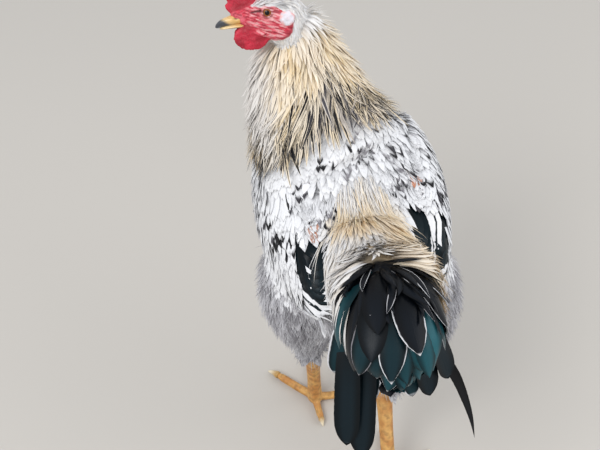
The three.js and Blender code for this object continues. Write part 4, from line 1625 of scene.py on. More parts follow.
VANE_INPUTS = {"Ground": "Color", "Mark": "Color", "Pattern": "Vector", "Map": "Vector",
               "Soft": "Float", "Barbs": "Float", "Base": "Float", "Painted Sheen": "Float"}
VANE_OUTPUTS = {"Color": "Color", "Mask": "Float", "Height": "Float"}


def vane_group() -> bpy.types.NodeTree:
    """The pattern of a feather: a stripe down it, a band round its tip, a raised shaft and fine barbs.

    Returns:
        A group that takes the feather's colours and its map, and gives a colour, the mark's mask and a
        height.
    """
    tree = bpy.data.node_groups.new("vane_pattern", "ShaderNodeTree")
    for way, sockets in (("INPUT", VANE_INPUTS), ("OUTPUT", VANE_OUTPUTS)):
        for name, kind in sockets.items():
            tree.interface.new_socket(name, in_out=way, socket_type=f"NodeSocket{kind}")
    g = Graph(tree)
    source = g.node("NodeGroupInput").outputs
    ground, mark, pattern, where, soft, barbs, base, sheen_share = (Wire(g, source[name]) for name in VANE_INPUTS)
    u, v, _ = g.parts(where)
    width, band_start, shift = g.parts(pattern)
    across = u * 2.0 - 1.0
    side = abs(across)
    # noise that runs on from feather to feather and is drawn out along each
    stretched = g.joined(u * 9.0, v * 2.5)
    scaled = g.add("ShaderNodeVectorMath", {0: g.place(), 1: (150.0, 150.0, 150.0)}, operation="MULTIPLY")
    rough = g.noise(g.add("ShaderNodeVectorMath", {0: scaled, 1: stretched}, operation="ADD"), 1.0, 2.0)
    wander = (rough - 0.5) * (soft * 3.0)
    # the mark: the stripe, which stops before the tip, and the band
    stripe = 1.0 - g.step(abs(across - shift) + wander, width - soft, width + soft)
    stripe = stripe * (1.0 - g.step(v, 0.96, 0.995))
    reach = v + side * side * 0.10 + wander * 0.45
    band = g.step(reach, band_start - soft, band_start + soft)
    mask = g.math("MAXIMUM", stripe, band, clamp=True)
    # painted sheen: on glossy feathers the mark is painted brighter in the middle of its length and width, and darker
    # towards the root and the edges
    lit = g.step(v, 0.2, 0.7) * (1.0 - g.step(side, 0.25, 0.9))
    lit = g.math("MAXIMUM", lit, 1.0 - sheen_share)
    colour = g.mix(mask, ground, g.mix(sheen_share * 0.3, g.shaded(mark, lit), mark))
    # barbs slant back from the shaft
    slant = v * barbs + side * -5.0
    uneven = g.noise(g.joined(slant, rough * 6.0), 0.7, 2.0)
    # the tone falls towards the root: partly the greyer down there and partly painted shade where the feathers overlap
    tone = (uneven * 0.22 + 0.89) * (g.step(v, 0.0, 0.4) * (1.0 - base) + base)
    shaft = 1.0 - g.step(side, 0.03, 0.09)
    height = g.math("SINE", slant * 6.2832, 0.0) * 0.35 + shaft * 1.2 + uneven * 0.9
    g.node("NodeGroupOutput", {"Color": g.shaded(colour, tone), "Mask": mask, "Height": height})
    return tree


@dataclass(frozen=True)
class Finish:
    """A procedural material."""

    name: str

    def shade(self, g: Graph) -> dict:
        """What feeds the shader: a constant or a wire for each of its inputs."""
        raise NotImplementedError

    def material(self) -> bpy.types.Material:
        """The material."""
        made = bpy.data.materials.new(self.name)
        made.use_nodes = True
        g = Graph(made.node_tree)
        shader = made.node_tree.nodes["Principled BSDF"]
        for key, value in self.shade(g).items():
            g.feed(shader.inputs[key], value)
        return made


@dataclass(frozen=True)
class FeatherFinish(Finish):
    """How one kind of feather reflects light. It reads the feather's own colours, pattern and map."""

    group: bpy.types.NodeTree
    roughness: float
    soft: float = 0.1
    barbs: float = 40.0
    base: float = 0.92
    relief: float = 0.25
    specular: float = 0.3
    gloss_roughness: float = 0.0
    # how much of the painted sheen the marks get
    sheen_share: float = 0.0

    def shade(self, g: Graph) -> dict:
        """The vane's pattern, and a gloss on its marks where there is one."""
        inputs = {"Ground": g.attribute("ground"), "Mark": g.attribute("mark"),
                  "Pattern": g.attribute("pattern", "Vector"), "Map": g.add("ShaderNodeUVMap", uv_map="vane"),
                  "Soft": self.soft, "Barbs": self.barbs, "Base": self.base, "Painted Sheen": self.sheen_share}
        vane = g.node("ShaderNodeGroup", None, node_tree=self.group)
        for key, value in inputs.items():
            g.feed(vane.inputs[key], value)
        colour, mask, height = (Wire(g, vane.outputs[key]) for key in VANE_OUTPUTS)
        shine = {0: mask, 3: self.roughness, 4: self.gloss_roughness}
        return {"Base Color": colour,
                "Roughness": g.add("ShaderNodeMapRange", shine) if self.gloss_roughness else self.roughness,
                "Specular IOR Level": self.specular,
                "Normal": g.bump(height, self.relief)}


@dataclass(frozen=True)
class SkinFinish(Finish):
    """Bare skin: red and pebbled on the head, yellow and scaled on the legs."""

    specular: float = 0.4

    def shade(self, g: Graph) -> dict:
        """The skin's tint, mottled and painted darker as shade between the pebbles, with pebbles and scales by the
        kind of skin at each place.
        """
        where = g.place()
        pebbled, scaled, _ = g.parts(g.attribute("kind", "Vector"))
        mottle = g.noise(where, 420.0, 4.0)
        pebble = g.cells(where, 900.0)
        scales = g.step(g.cells(where, 520.0, "DISTANCE_TO_EDGE"), 0.0, 0.16)
        # the low edges between the pebbles are painted darker, as shade
        tone = (mottle * 0.5 + 0.75) * (pebble * (pebbled * -0.35) + 1.0)
        height = (1.0 - pebble) * pebbled + scales * (scaled * 0.9) + mottle * 0.5
        return {"Base Color": g.shaded(g.attribute("tint"), tone), "Roughness": mottle * 0.2 + 0.42,
                "Specular IOR Level": self.specular, "Normal": g.bump(height, 0.34)}


@dataclass(frozen=True)
class HornFinish(Finish):
    """Horn of the bill or the claws, with fine growth lines."""

    roughness: float

    def shade(self, g: Graph) -> dict:
        """The horn's tint with a grain squeezed into upright lines."""
        squeezed = g.add("ShaderNodeMapping", {"Vector": g.place(), "Scale": (300.0, 300.0, 1100.0)})
        grain = g.noise(squeezed, 1.0, 3.0)
        return {"Base Color": g.shaded(g.attribute("tint"), grain * 0.4 + 0.8),
                "Roughness": grain * 0.16 + (self.roughness - 0.08), "Normal": g.bump(grain, 0.25, 0.0003)}


@dataclass(frozen=True)
class EyeFinish(Finish):
    """A wet eye: black pupil, orange-brown iris with fine fibres, dark rim."""

    pupil: float = 0.105
    iris: float = 0.185

    def shade(self, g: Graph) -> dict:
        """Rings of colour by the eye's own map: round the gaze, and away from it."""
        turn, away, _ = g.parts(g.add("ShaderNodeUVMap", uv_map="gaze"))
        fibres = g.noise(g.joined(turn * 60.0, away * 14.0), 1.0, 2.0)
        colour = g.mix(fibres, rgba(IRIS_DEEP), rgba(IRIS_PALE))
        colour = g.mix(g.step(away, self.pupil, self.pupil + 0.035), rgba(IRIS_INNER), colour)
        colour = g.mix(g.step(away, self.iris - 0.02, self.iris + 0.01), colour, rgba(EYE_RIM))
        colour = g.mix(g.step(away, self.pupil - 0.006, self.pupil + 0.006), rgba(PUPIL), colour)
        return {"Base Color": colour, "Roughness": 0.12, "Specular IOR Level": 0.22,
                "Coat Weight": 0.15, "Coat Roughness": 0.02}


# ---------------------------------------------------------------- the skin
@dataclass
class Skin:
    """The skin as one piece, with its folds, scales and colours."""

    shape: SkinShape
    coat_start: float = 108.0  # height where the thigh's feathers end over the bare shank
    scute: float = 4.4  # length of a scale on the front of the leg
    toe_scute: float = 0.82  # the same on the toes, as a share of that
    small_scute: float = 2.7  # the same at the sides and behind
    groove: float = 0.42  # depth between the large scales

    def bare(self, points: np.ndarray) -> np.ndarray:
        """How bare the skin is at each place of the head, 0 to 1, from the head's own frame.

        The red face runs from the bill to behind the ear lobe and from the brow to the throat; the crown,
        nape and the throat's middle have feathers.
        """
        local = to_head(points)
        x, y, z = np.abs(local[:, 0]), local[:, 1], local[:, 2]
        top = np.interp(y, *FACE_TOP) + 0.5 * waves(local, 7.0, 21)
        face = ease(top + 0.7, top - 0.7, z) * ease(24.6, 22.6, y + 0.15 * (-5 - z)) * ease(-30, -27, z)
        face = face * ease(4.0, 7.5, x + 8 * ease(-4, -20, y)) * ease(1.12, 0.94, self.cheek(local))
        comb, wattle, lobe = self.flesh_gaps(local)
        red = np.minimum(comb, np.minimum(wattle, lobe))
        return np.clip(np.maximum(face, 1 - red), 0, 1)

    def cheek(self, local: np.ndarray) -> np.ndarray:
        """How far a place is towards the cheek's rounded lower corner, which is at 1."""
        back, down = np.maximum(local[:, 1] - 4, 0) / 18.2, np.maximum(-8 - local[:, 2], 0) / 17.4
        return back**3 + down**3

    def flesh_gaps(self, local: np.ndarray) -> tuple:
        """0 on the comb, the wattles and the ear lobes, and 1 away from each of them."""
        face = self.shape.face
        comb = ease(0.5, 1.4, face.comb.field_at(local))
        return comb, ease(0.5, 1.3, face.wattle(local)), ease(0.3, 0.9, face.lobe(local))

    def wrinkles(self, sides: np.ndarray) -> np.ndarray:
        """The face's fine folds, which run back and down from the bill: above 0 in the creases."""
        down = sides[:, 2] + 0.33 * sides[:, 1]
        return waves(np.stack([sides[:, 0], 0.3 * sides[:, 1], 1.5 * down], -1), 3.4, 33)

    def legs(self, points: np.ndarray) -> tuple:
        """How far each place is bare leg, and the scales' pattern there.

        Along the front of the shank and the top of the toes the scales are broad plates in a row; behind
        and at the sides they are small.

        Args:
            points: places on the skin.

        Returns:
            The leg's share and the scales' relief, in mm.
        """
        share, relief = np.zeros(len(points)), np.zeros(len(points))
        low = np.flatnonzero(points[:, 2] < 125.0)
        here = points[low]
        best = np.full(len(low), 1e3)
        for hand in HANDS:
            lofts = [(FORMS.shank(hand), True)]
            lofts += [(toe_loft(hand, toe, 0.0, TOE_END), False) for toe in TOES[hand]]
            for loft, is_shank in lofts:
                t, angle, length = loft.nearest(here)
                middle, _ = loft.curve(PLACE, t)
                reach, _ = loft.curve(SIDE_REACH, t)
                away = np.linalg.norm(here - middle, axis=1) - reach[:, 0]
                along = t * length
                # the front of the shank faces -Y, which is above for a line that goes down
                front = np.cos(angle + math.pi / 2) if is_shank else np.sin(angle)
                plate = ease(0.25, 0.6, front)
                step = self.scute * (1.0 if is_shank else self.toe_scute)
                rows = np.abs(np.mod(along / step + 0.12 * np.sin(3 * angle), 1.0) - 0.5) * 2
                grooves = -self.groove * ease(0.72, 1.0, rows)
                split = -0.3 * hump(0.0, 0.08, np.mod(angle / (2 * math.pi) * 6 + 0.5, 1.0) - 0.5)
                shifted = angle * 7 + np.floor(along / (self.small_scute / 2)) * math.pi
                small = 0.3 * np.sin(along * 2 * math.pi / self.small_scute) * np.sin(shifted)
                made = plate * grooves + (1 - plate) * (0.5 * small + 0.2 * split)
                nearer = away < best
                best = np.where(nearer, away, best)
                relief[low] = np.where(nearer, made, relief[low])
        share[low] = ease(3.5, 1.2, best) * ease(self.coat_start, self.coat_start - 10, here[:, 2])
        return share, relief * share

    def tint(self, points: np.ndarray, bare: np.ndarray, leg: np.ndarray, relief: np.ndarray) -> np.ndarray:
        """The skin's colour at each point.

        Args:
            points: places on the skin.
            bare: how bare the head is there.
            leg: how far the place is leg.
            relief: the leg scales' relief, in mm.

        Returns:
            One colour for each point.
        """
        local = to_head(points)
        sides = mirrored(local)
        colour = MARKINGS.body(points) * 0.9
        blotch = waves(local, 9.0, 31) * 0.5 + waves(local, 3.0, 32) * 0.35
        face = blend(PINK, RED, np.clip(0.45 + 0.5 * blotch, 0, 1))
        eye_gap = np.linalg.norm(sides - [13.5, 0, 0], axis=1)
        face = blend(face, PALE_PINK, 0.55 * ease(10, 6, eye_gap) * (0.6 + 0.4 * blotch))
        face = blend(face, LID_RED, 0.75 * ease(5.4, 4.7, eye_gap) * ease(3.6, 4.4, eye_gap))
        wrinkle = self.wrinkles(sides)
        # painted shade: the creases are darker; the folds between them are paler
        face = blend(face, CREASE_SHADE, 0.75 * ease(0.1, 1.0, wrinkle))
        face = blend(face, FOLD_PALE, 0.7 * ease(-0.1, -1.0, wrinkle) * ease(22, 12, np.abs(sides[:, 1] + 1)))
        # painted shadow under the ridge over the front of the eye
        brow_shadow = hump(0.0, 1.0, sides[:, 2] - 0.9 - 0.12 * (sides[:, 1] + 8)) * ease(-3.5, -6, sides[:, 1])
        brow_shadow *= ease(-19, -13, sides[:, 1]) * ease(8, 10, sides[:, 0])
        face = blend(face, BROW_SHADOW, 0.95 * brow_shadow)
        hem = hump(0.8, 0.22, self.cheek(sides)) * ease(-7, -10, sides[:, 2])
        face = blend(face, HEM_RED, 0.7 * hem)
        colour = blend(colour, face, bare)
        deep = blend(RED, COMB_DEEP, np.clip(0.4 + 0.5 * waves(local, 14, 34), 0, 1))
        comb_gap, wattle_gap, lobe_gap = self.flesh_gaps(local)
        colour = blend(colour, deep, np.maximum(1 - comb_gap, 1 - wattle_gap))
        off = (local[:, 1:] - LOBE_AT[1:]) / LOBE_HALF[1:]
        rim = ease(0.72, 1.05, np.hypot(off[:, 0], off[:, 1]) + 0.12 * waves(local, 5, 35))
        lobe = blend(LOBE_WHITE, PALE_PINK, np.clip(0.08 + 0.04 * waves(local, 5, 35) + 0.8 * rim, 0, 1))
        colour = blend(colour, lobe, 1 - lobe_gap)
        yellow = blend(LEG_YELLOW, LEG_ORANGE, np.clip(0.5 + 0.5 * waves(points, 16, 36), 0, 1))
        yellow = blend(yellow, LEG_SHADE, np.clip(-relief * 1.9, 0, 0.8))
        yellow = blend(yellow, LEG_SHADE, 0.45 * ease(0.2, 1.3, waves(points, 7, 37)))
        return blend(colour, yellow, leg)

    def build(self) -> bpy.types.Object:
        """Makes the skin piece."""
        points, quads = self.shape.surface()
        rough = new_piece("rough_skin", points, quads)
        group = rough.vertex_groups.new(name="coat")
        local = to_head(points)
        covered = (points[:, 2] > 135) & (np.linalg.norm(local, axis=1) > 62)
        group.add(np.flatnonzero(covered).tolist(), 1.0, "REPLACE")
        thin = rough.modifiers.new("thin", "DECIMATE")
        thin.vertex_group = "coat"
        thin.ratio = self.shape.face_count / (2 * len(quads))
        thin.use_collapse_triangulate = True
        ready = rough.evaluated_get(bpy.context.evaluated_depsgraph_get()).to_mesh()
        points = pulled(ready.vertices, "co", 3, np.float32).astype(float) / MM - ORIGIN
        ready.calc_loop_triangles()
        tris = pulled(ready.loop_triangles, "vertices", 3)
        bpy.data.objects.remove(rough)
        corner = points[tris]
        face = np.cross(corner[:, 1] - corner[:, 0], corner[:, 2] - corner[:, 0])
        out = [np.bincount(tris.ravel(), np.repeat(face[:, d], 3), len(points)) for d in range(3)]
        out = unit(np.stack(out, -1))
        bare = self.bare(points)
        leg, relief = self.legs(points)
        local = to_head(points)
        sides = mirrored(local)
        comb_gap, wattle_gap, lobe_gap = self.flesh_gaps(local)
        lobe = 1 - lobe_gap
        flesh = np.clip(2 - comb_gap - wattle_gap, 0, 1)
        wrinkle = -0.55 * ease(0.0, 1.2, self.wrinkles(sides)) + 0.16 * waves(sides, 2.2, 41)
        calm = ease(4.2, 7.0, np.linalg.norm(sides - [13.5, 0, 0], axis=1))
        push = bare * (1 - lobe) * (1 - flesh) * wrinkle * (0.25 + 0.75 * calm)
        push += flesh * (0.09 * waves(local, 2.0, 42) + 0.14 * waves(local, 5.0, 43))
        push += lobe * (0.2 * waves(local, 4.5, 44) + 0.05 * waves(local, 2.0, 45)) + relief
        points = points + out * push[:, None]
        points[:, 2] = np.maximum(points[:, 2], 0.0)
        made = new_piece("skin", points, np.zeros((0, 4), dtype=int), tris)
        add_values(made, "tint", self.tint(points, bare, leg, relief))
        kind = np.stack([np.maximum(bare * 0.5, flesh) * (1 - lobe), leg, lobe], -1)
        add_values(made, "kind", kind, "FLOAT_VECTOR")
        nodes = ["head", "comb", "neck_upper", "neck_lower", "trunk", "tail_coverts"]
        for hand, side in HANDS.items():
            nodes += [f"{n}_{side}" for n in ("wing", "wattle", "earlobe", "thigh", "shank")]
            nodes += [f"toe_{side}_{toe[0]}" for toe in TOES[hand]]
        finished(made, SkinFinish("bird_skin").material(), "red_skin", *nodes)
        return made


# ---------------------------------------------------------------- horn and eyes
@dataclass
class Horn:
    """The bill and the claws."""

    claw_sink: float = 0.045  # how far a claw's root sits back under the toe's skin, as a share

    def bill(self) -> None:
        """Both halves of the bill: slate on the ridge and tip, yellow at the sides, with nostrils."""
        finish = HornFinish("bill_horn", 0.3).material()
        for name, stations in (("beak_upper", BILL_UPPER), ("beak_lower", BILL_LOWER)):
            loft = Loft(stations, (0.1, 0.15), in_head=True)
            points, quads, tris, share = loft.grid(48, 64, -0.05)
            local = to_head(points)
            t, angle = share[:, 0], share[:, 1] * 2 * math.pi
            upper = name == "beak_upper"
            if upper:
                for side in HANDS:
                    local[:, 0] -= side * 1.5 * bell(local, [side * 4.9, -28.5, -6.0], [3.0, 2.6, 1.1])
                cutting = ease(-0.35, -0.8, np.sin(angle)) * 0.5
                local[:, 2] -= cutting * ease(0.2, 0.5, t)
                points = from_head(local)
            ridge = ease(0.2, 0.9, np.sin(angle)) * ease(0.05, 0.35, t)
            slate = np.clip(ease(0.42, 0.6, t + 0.1 * np.sin(angle)) + 0.5 * ridge * ease(0.1, 0.5, t), 0, 1)
            slate = slate if upper else 0.35 * ease(0.8, 1.0, t)
            yellow = blend(BILL_YELLOW, BILL_PALE, ease(0.1, 0.8, t))
            colour = blend(yellow, BILL_SLATE, slate)
            colour = blend(colour, BILL_SHEEN, 0.5 * slate * hump(0.86, 0.07, t) * ease(0.3, 0.8, np.sin(angle)))
            if upper:
                dark = [bell(local, [side * 4.4, -28.5, -6.0], [3, 1.9, 0.8]) for side in HANDS]
                colour = blend(colour, NOSTRIL, np.maximum(*dark))
            else:
                # painted shade in the gap under the upper half, near the bill's root
                gape_shade = ease(-0.1, 0.5, np.sin(angle)) * ease(0.75, 0.45, t)
                colour = blend(colour, GAPE_SHADE, 0.85 * gape_shade)
            made = new_piece(name + "_horn", points, quads, tris)
            add_values(made, "tint", colour)
            finished(made, finish, "beak", name)

    def claws(self) -> None:
        """Each claw: a curved horn cone, darker at the root, worn flat under its tip."""
        finish = HornFinish("claw_horn", 0.38).material()
        for hand, side in HANDS.items():
            for toe in TOES[hand]:
                loft = toe_loft(hand, toe, 1.0 - CLAW_SHARE - self.claw_sink, 1.0)
                points, quads, tris, share = loft.grid(24, 24, -0.25)
                points[:, 2] = np.maximum(points[:, 2], 0.0)
                colour = blend(CLAW_ROOT, CLAW_TIP, ease(0.1, 0.8, share[:, 0]))
                made = new_piece(f"claw_horn_{side}_{toe[0]}", points, quads, tris)
                add_values(made, "tint", colour)
                finished(made, finish, "claw", f"claw_{side}_{toe[0]}")

    def eyes(self, face: Face) -> None:
        """Both eyeballs, with a slightly raised cornea over the iris."""
        finish = EyeFinish("bird_eye").material()
        polar, round_share = np.linspace(0, 1, EYE_RINGS)[1:-1], np.arange(EYE_AROUND) / EYE_AROUND
        for hand, side in HANDS.items():
            axis = face.eye_axis(hand)
            across = unit(np.cross(axis, [0.0, 0.0, 1.0]))
            up = np.cross(across, axis)
            p, r = np.meshgrid(polar, round_share, indexing="ij")
            p, r = np.append(p.ravel(), [0, 1]), np.append(r.ravel(), [0, 0])
            radius = EYE_RADIUS - 0.12 + 0.22 * hump(0.0, 0.17, p)
            away, turn = p * math.pi, r * 2 * math.pi
            ball = np.cos(away)[:, None] * axis + (np.sin(away) * np.cos(turn))[:, None] * across
            ball = ball + (np.sin(away) * np.sin(turn))[:, None] * up
            local = ball * radius[:, None] + [hand * EYE_SIDE, 0, 0]
            quads, tris = (np.roll(faces[:, ::-1], 1, axis=1) for faces in tube(len(polar), EYE_AROUND))
            made = new_piece(f"eyeball_{side}", from_head(local), quads, tris)
            add_uv(made, "gaze", np.stack([r, p], -1))
            finished(made, finish, "eye", f"eye_{side}")


# ---------------------------------------------------------------- the coat
FLIGHTS, FLIGHT_STEPS, TAIL_STEPS, SICKLE_STEPS = 15, 26, 44, 48
FLIGHT_PATCH, TAIL_PATCH = 0.055, 0.9  # patches of the few large feathers on the bake map
# The rows of the flight feathers' roots and of their tips: the uppermost and the lowest.
FLIGHT_ROWS = {
    1: ([[40, -20, 338], [86, -30, 262]], [[38, 94, 322], [52, 102, 272]]),
    -1: ([[-50, -34, 338], [-98, -34, 262]], [[-42, 84, 322], [-54, 90, 268]]),
}


def weigh(chance: np.random.Generator, count: int, share: float) -> np.ndarray:
    """True for a share of the feathers, at random."""
    return chance.uniform(0, 1, count) < share


@dataclass
class Plumage:
    """Every layer of feathers over the skin."""

    coat: Coat
    skin: Skin
    soft: bpy.types.Material
    gloss: bpy.types.Material
    down: bpy.types.Material

    def build(self) -> None:
        """Makes every piece of the coat, in order."""
        for part in (self.hackle, self.head, self.body, self.coverts, self.flights, self.saddle,
                     self.tail_coverts, self.tail_feathers, self.fluff):
            log.info("coat: %s", part.__name__)
            part()

    def dress(self, name: str, material: bpy.types.Material, slot: str, *layers: Layer) -> None:
        """Grows layers and joins them into one piece."""
        coat_piece(name, [layer.grown(self.coat) for layer in layers], material, slot)

    def vary(self, colour: np.ndarray, chance: np.random.Generator, amount: float = 0.03) -> np.ndarray:
        """Each feather's colour a little lighter or darker."""
        return np.clip(colour * (1 + chance.normal(0, amount, len(colour)))[:, None], 0, 0.9)

    # ---- neck
    def hackle_look(self, tips: np.ndarray, chance: np.random.Generator) -> Look:
        """Neck feathers: white above, cream in the middle, black-striped with cream edges low down."""
        count = len(tips)
        x, y, z = tips.T
        patchy = waves(tips, 30.0, 51)
        hem, band = MARKINGS.hem(tips)
        cream = np.clip(0.3 + 0.25 * patchy + chance.normal(0, 0.16, count), 0, 1)
        ground = blend(blend(CREAM, BUFF, cream), WHITE, 0.85 * ease(452, 482, z))
        low = ease(1.05, 0.6, (z - hem) / band + 0.12 * patchy)
        front = np.maximum(ease(-128, -150, y), ease(60, 84, x) * ease(348, 368, z))
        shade = blend(blend(WHITE, PALE_GREY, chance.uniform(0, 0.9, count)), CREAM, 0.35)
        ground = blend(ground, shade, front * ease(470, 440, z))
        nape = low * hump(105, 40, neck_angle(tips))
        greyed = nape * weigh(chance, count, 0.45)
        ground = blend(ground, blend(GREY, CREAM, chance.uniform(0, 0.5, count)), 0.8 * greyed)
        look = Look.plain(self.vary(ground, chance, 0.04), BLACK)
        striped = low * (1 - 0.75 * front)
        wide = 0.48 + 0.5 * waves(tips, 9.0, 52) + chance.uniform(-0.12, 0.12, count)
        look.stripe = np.where(striped > 0.15, striped * np.clip(wide, 0.1, 0.88), NO_STRIPE)
        look.mark = blend(look.mark, DARK, chance.uniform(0, 0.8, count) ** 2)
        look.mark[greyed > 0.3] = DARK
        faint = (striped <= 0.15) & weigh(chance, count, 0.3)
        look.stripe = np.where(faint, 0.08, look.stripe)
        look.mark[faint] = (ground * 0.72)[faint]
        return look

    def hackle(self) -> None:
        """The neck's long pointed feathers, falling over the shoulders."""

        def size(roots: np.ndarray) -> np.ndarray:
            return ease(490, 395, roots[:, 2])

        def keep(roots: np.ndarray) -> np.ndarray:
            hem, _ = MARKINGS.hem(roots)
            # a long feather's tip hangs about 47 mm below its root
            return (self.skin.bare(roots) < 0.4) & (roots[:, 2] > hem + 47 + 5 * waves(roots, 16, 60))

        def keep_low(roots: np.ndarray) -> np.ndarray:
            hem, band = MARKINGS.hem(roots)
            return (roots[:, 2] > hem + 45) & (roots[:, 2] < hem + 50 + band)

        pointed, look = Outline(0.42, 1.6, 0.35), self.hackle_look
        under = Layer(Tract(FORMS.neck, -DEPTH_NECK, along=3.7, around=3.5, span=(0.1, 0.99)), 61, keep, look,
                      length=(14, 54), half=(1.4, 3.0), rise=8.6, near=5.0, outline=pointed, size=size, start=0.6,
                      steps=8, stiff=0.5, sway=0.06, lock=0.12, lift=0.6, camber=0.08)
        low = Layer(Tract(FORMS.neck, -DEPTH_NECK, along=5.0, around=4.0, span=(0.1, 0.9)), 59, keep_low, look,
                    length=(46, 62), half=(1.4, 2.4), rise=10.2, near=5.0, outline=Outline(0.5, 1.7, 0.3),
                    start=2.0, steps=10, stiff=0.55, sway=0.05, lock=0.34, lift=1.4, thick=0.14, camber=0.12)
        fine = Layer(Tract(FORMS.neck, -DEPTH_NECK, along=5.6, around=4.6, span=(0.3, 0.97)), 58, keep, look,
                     length=(14, 44), half=(0.5, 0.9), rise=9.6, near=5.0, outline=pointed, size=size, start=3.0,
                     stiff=0.5, sway=0.1, lock=0.25, lift=1.8, thick=0.14, camber=0.0)
        self.dress("hackle", self.soft, "cream_hackle", under, low, fine)

    # ---- head
    def head(self) -> None:
        """The small feathers of the crown, nape, cheeks and throat."""

        def keep(roots: np.ndarray) -> np.ndarray:
            return self.skin.bare(roots) < 0.35

        def look(tips: np.ndarray, chance: np.random.Generator) -> Look:
            local = to_head(tips)
            ground = blend(WHITE, CREAM, chance.uniform(0, 0.35, len(tips)))
            ear = hump(17, 7, local[:, 1]) * hump(5.5, 3.0, local[:, 2])
            return Look.plain(self.vary(blend(ground, DARK, 0.6 * ear), chance), GREY)

        def size(roots: np.ndarray) -> np.ndarray:
            return ease(-20, 30, to_head(roots)[:, 1])

        def crown(roots: np.ndarray) -> np.ndarray:
            x, y, z = to_head(roots).T
            return keep(roots) & (z > 3) & (y > -13) & (np.abs(x) < 11.5)

        small = {"outline": Outline(0.4, 2.0, 0.4), "size": size, "camber": 0.08}
        top = Layer(Tract(FORMS.skull, -DEPTH_FACE, along=1.4, around=1.25), 62, keep, look, length=(3.4, 12.0),
                    half=(0.4, 1.1), rise=1.6, near=2.5, start=0.1, steps=5, sway=0.16, **small)
        low = Layer(Tract(FORMS.throat, -DEPTH_FACE, along=1.6, around=1.4), 63, keep, look, length=(3.4, 9.0),
                    half=(0.4, 0.9), rise=1.6, near=2.5, start=0.1, steps=5, sway=0.2, lift=0.6, **small)
        crest = Layer(Tract(FORMS.skull, -DEPTH_FACE, along=1.5, around=1.3), 56, crown, look, length=(7.0, 12.0),
                      half=(0.4, 0.9), rise=3.6, near=2.5, start=0.2, steps=6, sway=0.16, lift=1.2, **small)
        self.dress("head_feathers", self.soft, "white_plumage", top, low, crest)

    # ---- trunk
    def rusted(self, look: Look, tips: np.ndarray, chance: np.random.Generator) -> Look:
        """Gives the feathers at the rusty patches their colour."""
        for *place, reach in RUST_SPOTS:
            near = (np.linalg.norm(tips - place, axis=1) < reach) & weigh(chance, len(tips), 0.8)
            look.mark[near] = blend(RUST, WHITE, 0.3 * chance.uniform(0, 1, near.sum()))
            look.stripe[near] = chance.uniform(0.3, 0.85, near.sum())
        return look

    def body_look(self, tips: np.ndarray, chance: np.random.Generator) -> Look:
        """Body feathers: white, with dark half-moon tips where marks gather on the back, greyer below."""
        count = len(tips)
        made = Look.plain(self.vary(MARKINGS.body(tips), chance), GREY)
        back = ease(298, 325, tips[:, 2]) * ease(-160, -130, tips[:, 1])
        crowd = np.maximum(0.8 * MARKINGS.gathered(tips), 0.03) * (back > 0.4)
        marked = weigh(chance, count, crowd)
        made.tip = np.where(marked, chance.uniform(0.68, 0.88, count), NO_BAND)
        dark = weigh(chance, count, 0.55)
        made.mark[dark] = blend(DARK, BLACK, chance.uniform(0, 1, count))[dark]
        return self.rusted(made, tips, chance)

    def barb_look(self, tips: np.ndarray, chance: np.random.Generator) -> Look:
        """Loose barbs: the body's colour, some of them grey where marks gather."""
        count = len(tips)
        grey = weigh(chance, count, 0.45 * MARKINGS.gathered(tips))
        shade = blend(GREY, DARK, chance.uniform(0, 1, count))
        return Look.plain(self.vary(np.where(grey[:, None], shade, MARKINGS.body(tips)), chance), GREY)

    def body(self) -> None:
        """The layer of rounded feathers all over the trunk, and the loose barbs that soften it."""

        def keep(roots: np.ndarray) -> np.ndarray:
            x, y, z = roots.T
            # under the folded flight feathers nothing grows
            flights = (z > 290) & (((x > 30) & (y > -4)) | ((x < -40) & (y > -20)))
            return (MARKINGS.tail(roots) < 0.5) & ~flights

        def on_back(roots: np.ndarray) -> np.ndarray:
            return keep(roots) & (roots[:, 2] > 296) & (roots[:, 1] < 20)

        def on_shoulders(roots: np.ndarray) -> np.ndarray:
            return roots[:, 2] < MARKINGS.hem(roots)[0] + 30

        trunk = Layer(Tract(FORMS.trunk, -DEPTH_TRUNK, along=5.0, around=4.8, span=(0.02, 0.97)), 64, keep,
                      self.body_look, length=(24, 34), half=(3.0, 5.0), rise=8.0, near=12.0, stiff=0.4)
        shoulders = Layer(Tract(FORMS.neck, -DEPTH_NECK, along=5.0, around=4.8, span=(0.0, 0.75)), 57,
                          on_shoulders, self.body_look, length=(20, 28), half=(3.0, 4.8), rise=4.2, near=11.0,
                          start=0.3, stiff=0.15, lift=0.3, thick=0.1)
        tract = Tract(FORMS.trunk, -DEPTH_TRUNK, along=4.4, around=4.4, span=(0.05, 0.7), arc=(-0.05, 1.05),
                      jitter=1.5)
        barbs = Strands(tract, 99, on_back, self.barb_look, length=(9, 15), half=(0.25, 0.42), rise=9.0, near=5.0,
                        start=7.0, sway=0.25, lift=0.9)
        self.dress("body_feathers", self.soft, "white_plumage", trunk, shoulders, barbs)

    # ---- wings
    def covert_look(self, tips: np.ndarray, chance: np.random.Generator) -> Look:
        """Wing coverts: white, with black spots where marks gather and a small rusty patch."""
        count = len(tips)
        made = Look.plain(self.vary(np.broadcast_to(WHITE, (count, 3)), chance), BLACK)
        crowd = np.maximum(MARKINGS.gathered(tips), 0.02)
        marked = weigh(chance, count, crowd)
        made.tip = np.where(marked, chance.uniform(0.55, 0.85, count), NO_BAND)
        streaked = weigh(chance, count, 0.5 * crowd)
        made.stripe = np.where(streaked, chance.uniform(0.2, 0.5, count), NO_STRIPE)
        made.mark[weigh(chance, count, 0.3)] = DARK
        return self.rusted(made, tips, chance)

    def coverts(self) -> None:
        """The rows of small feathers over both folded wings."""

        def size(roots: np.ndarray) -> np.ndarray:
            return ease(-130, 0, roots[:, 1])

        for hand, side in HANDS.items():
            oval = self.skin.shape.volumes[f"wing_{side}"]

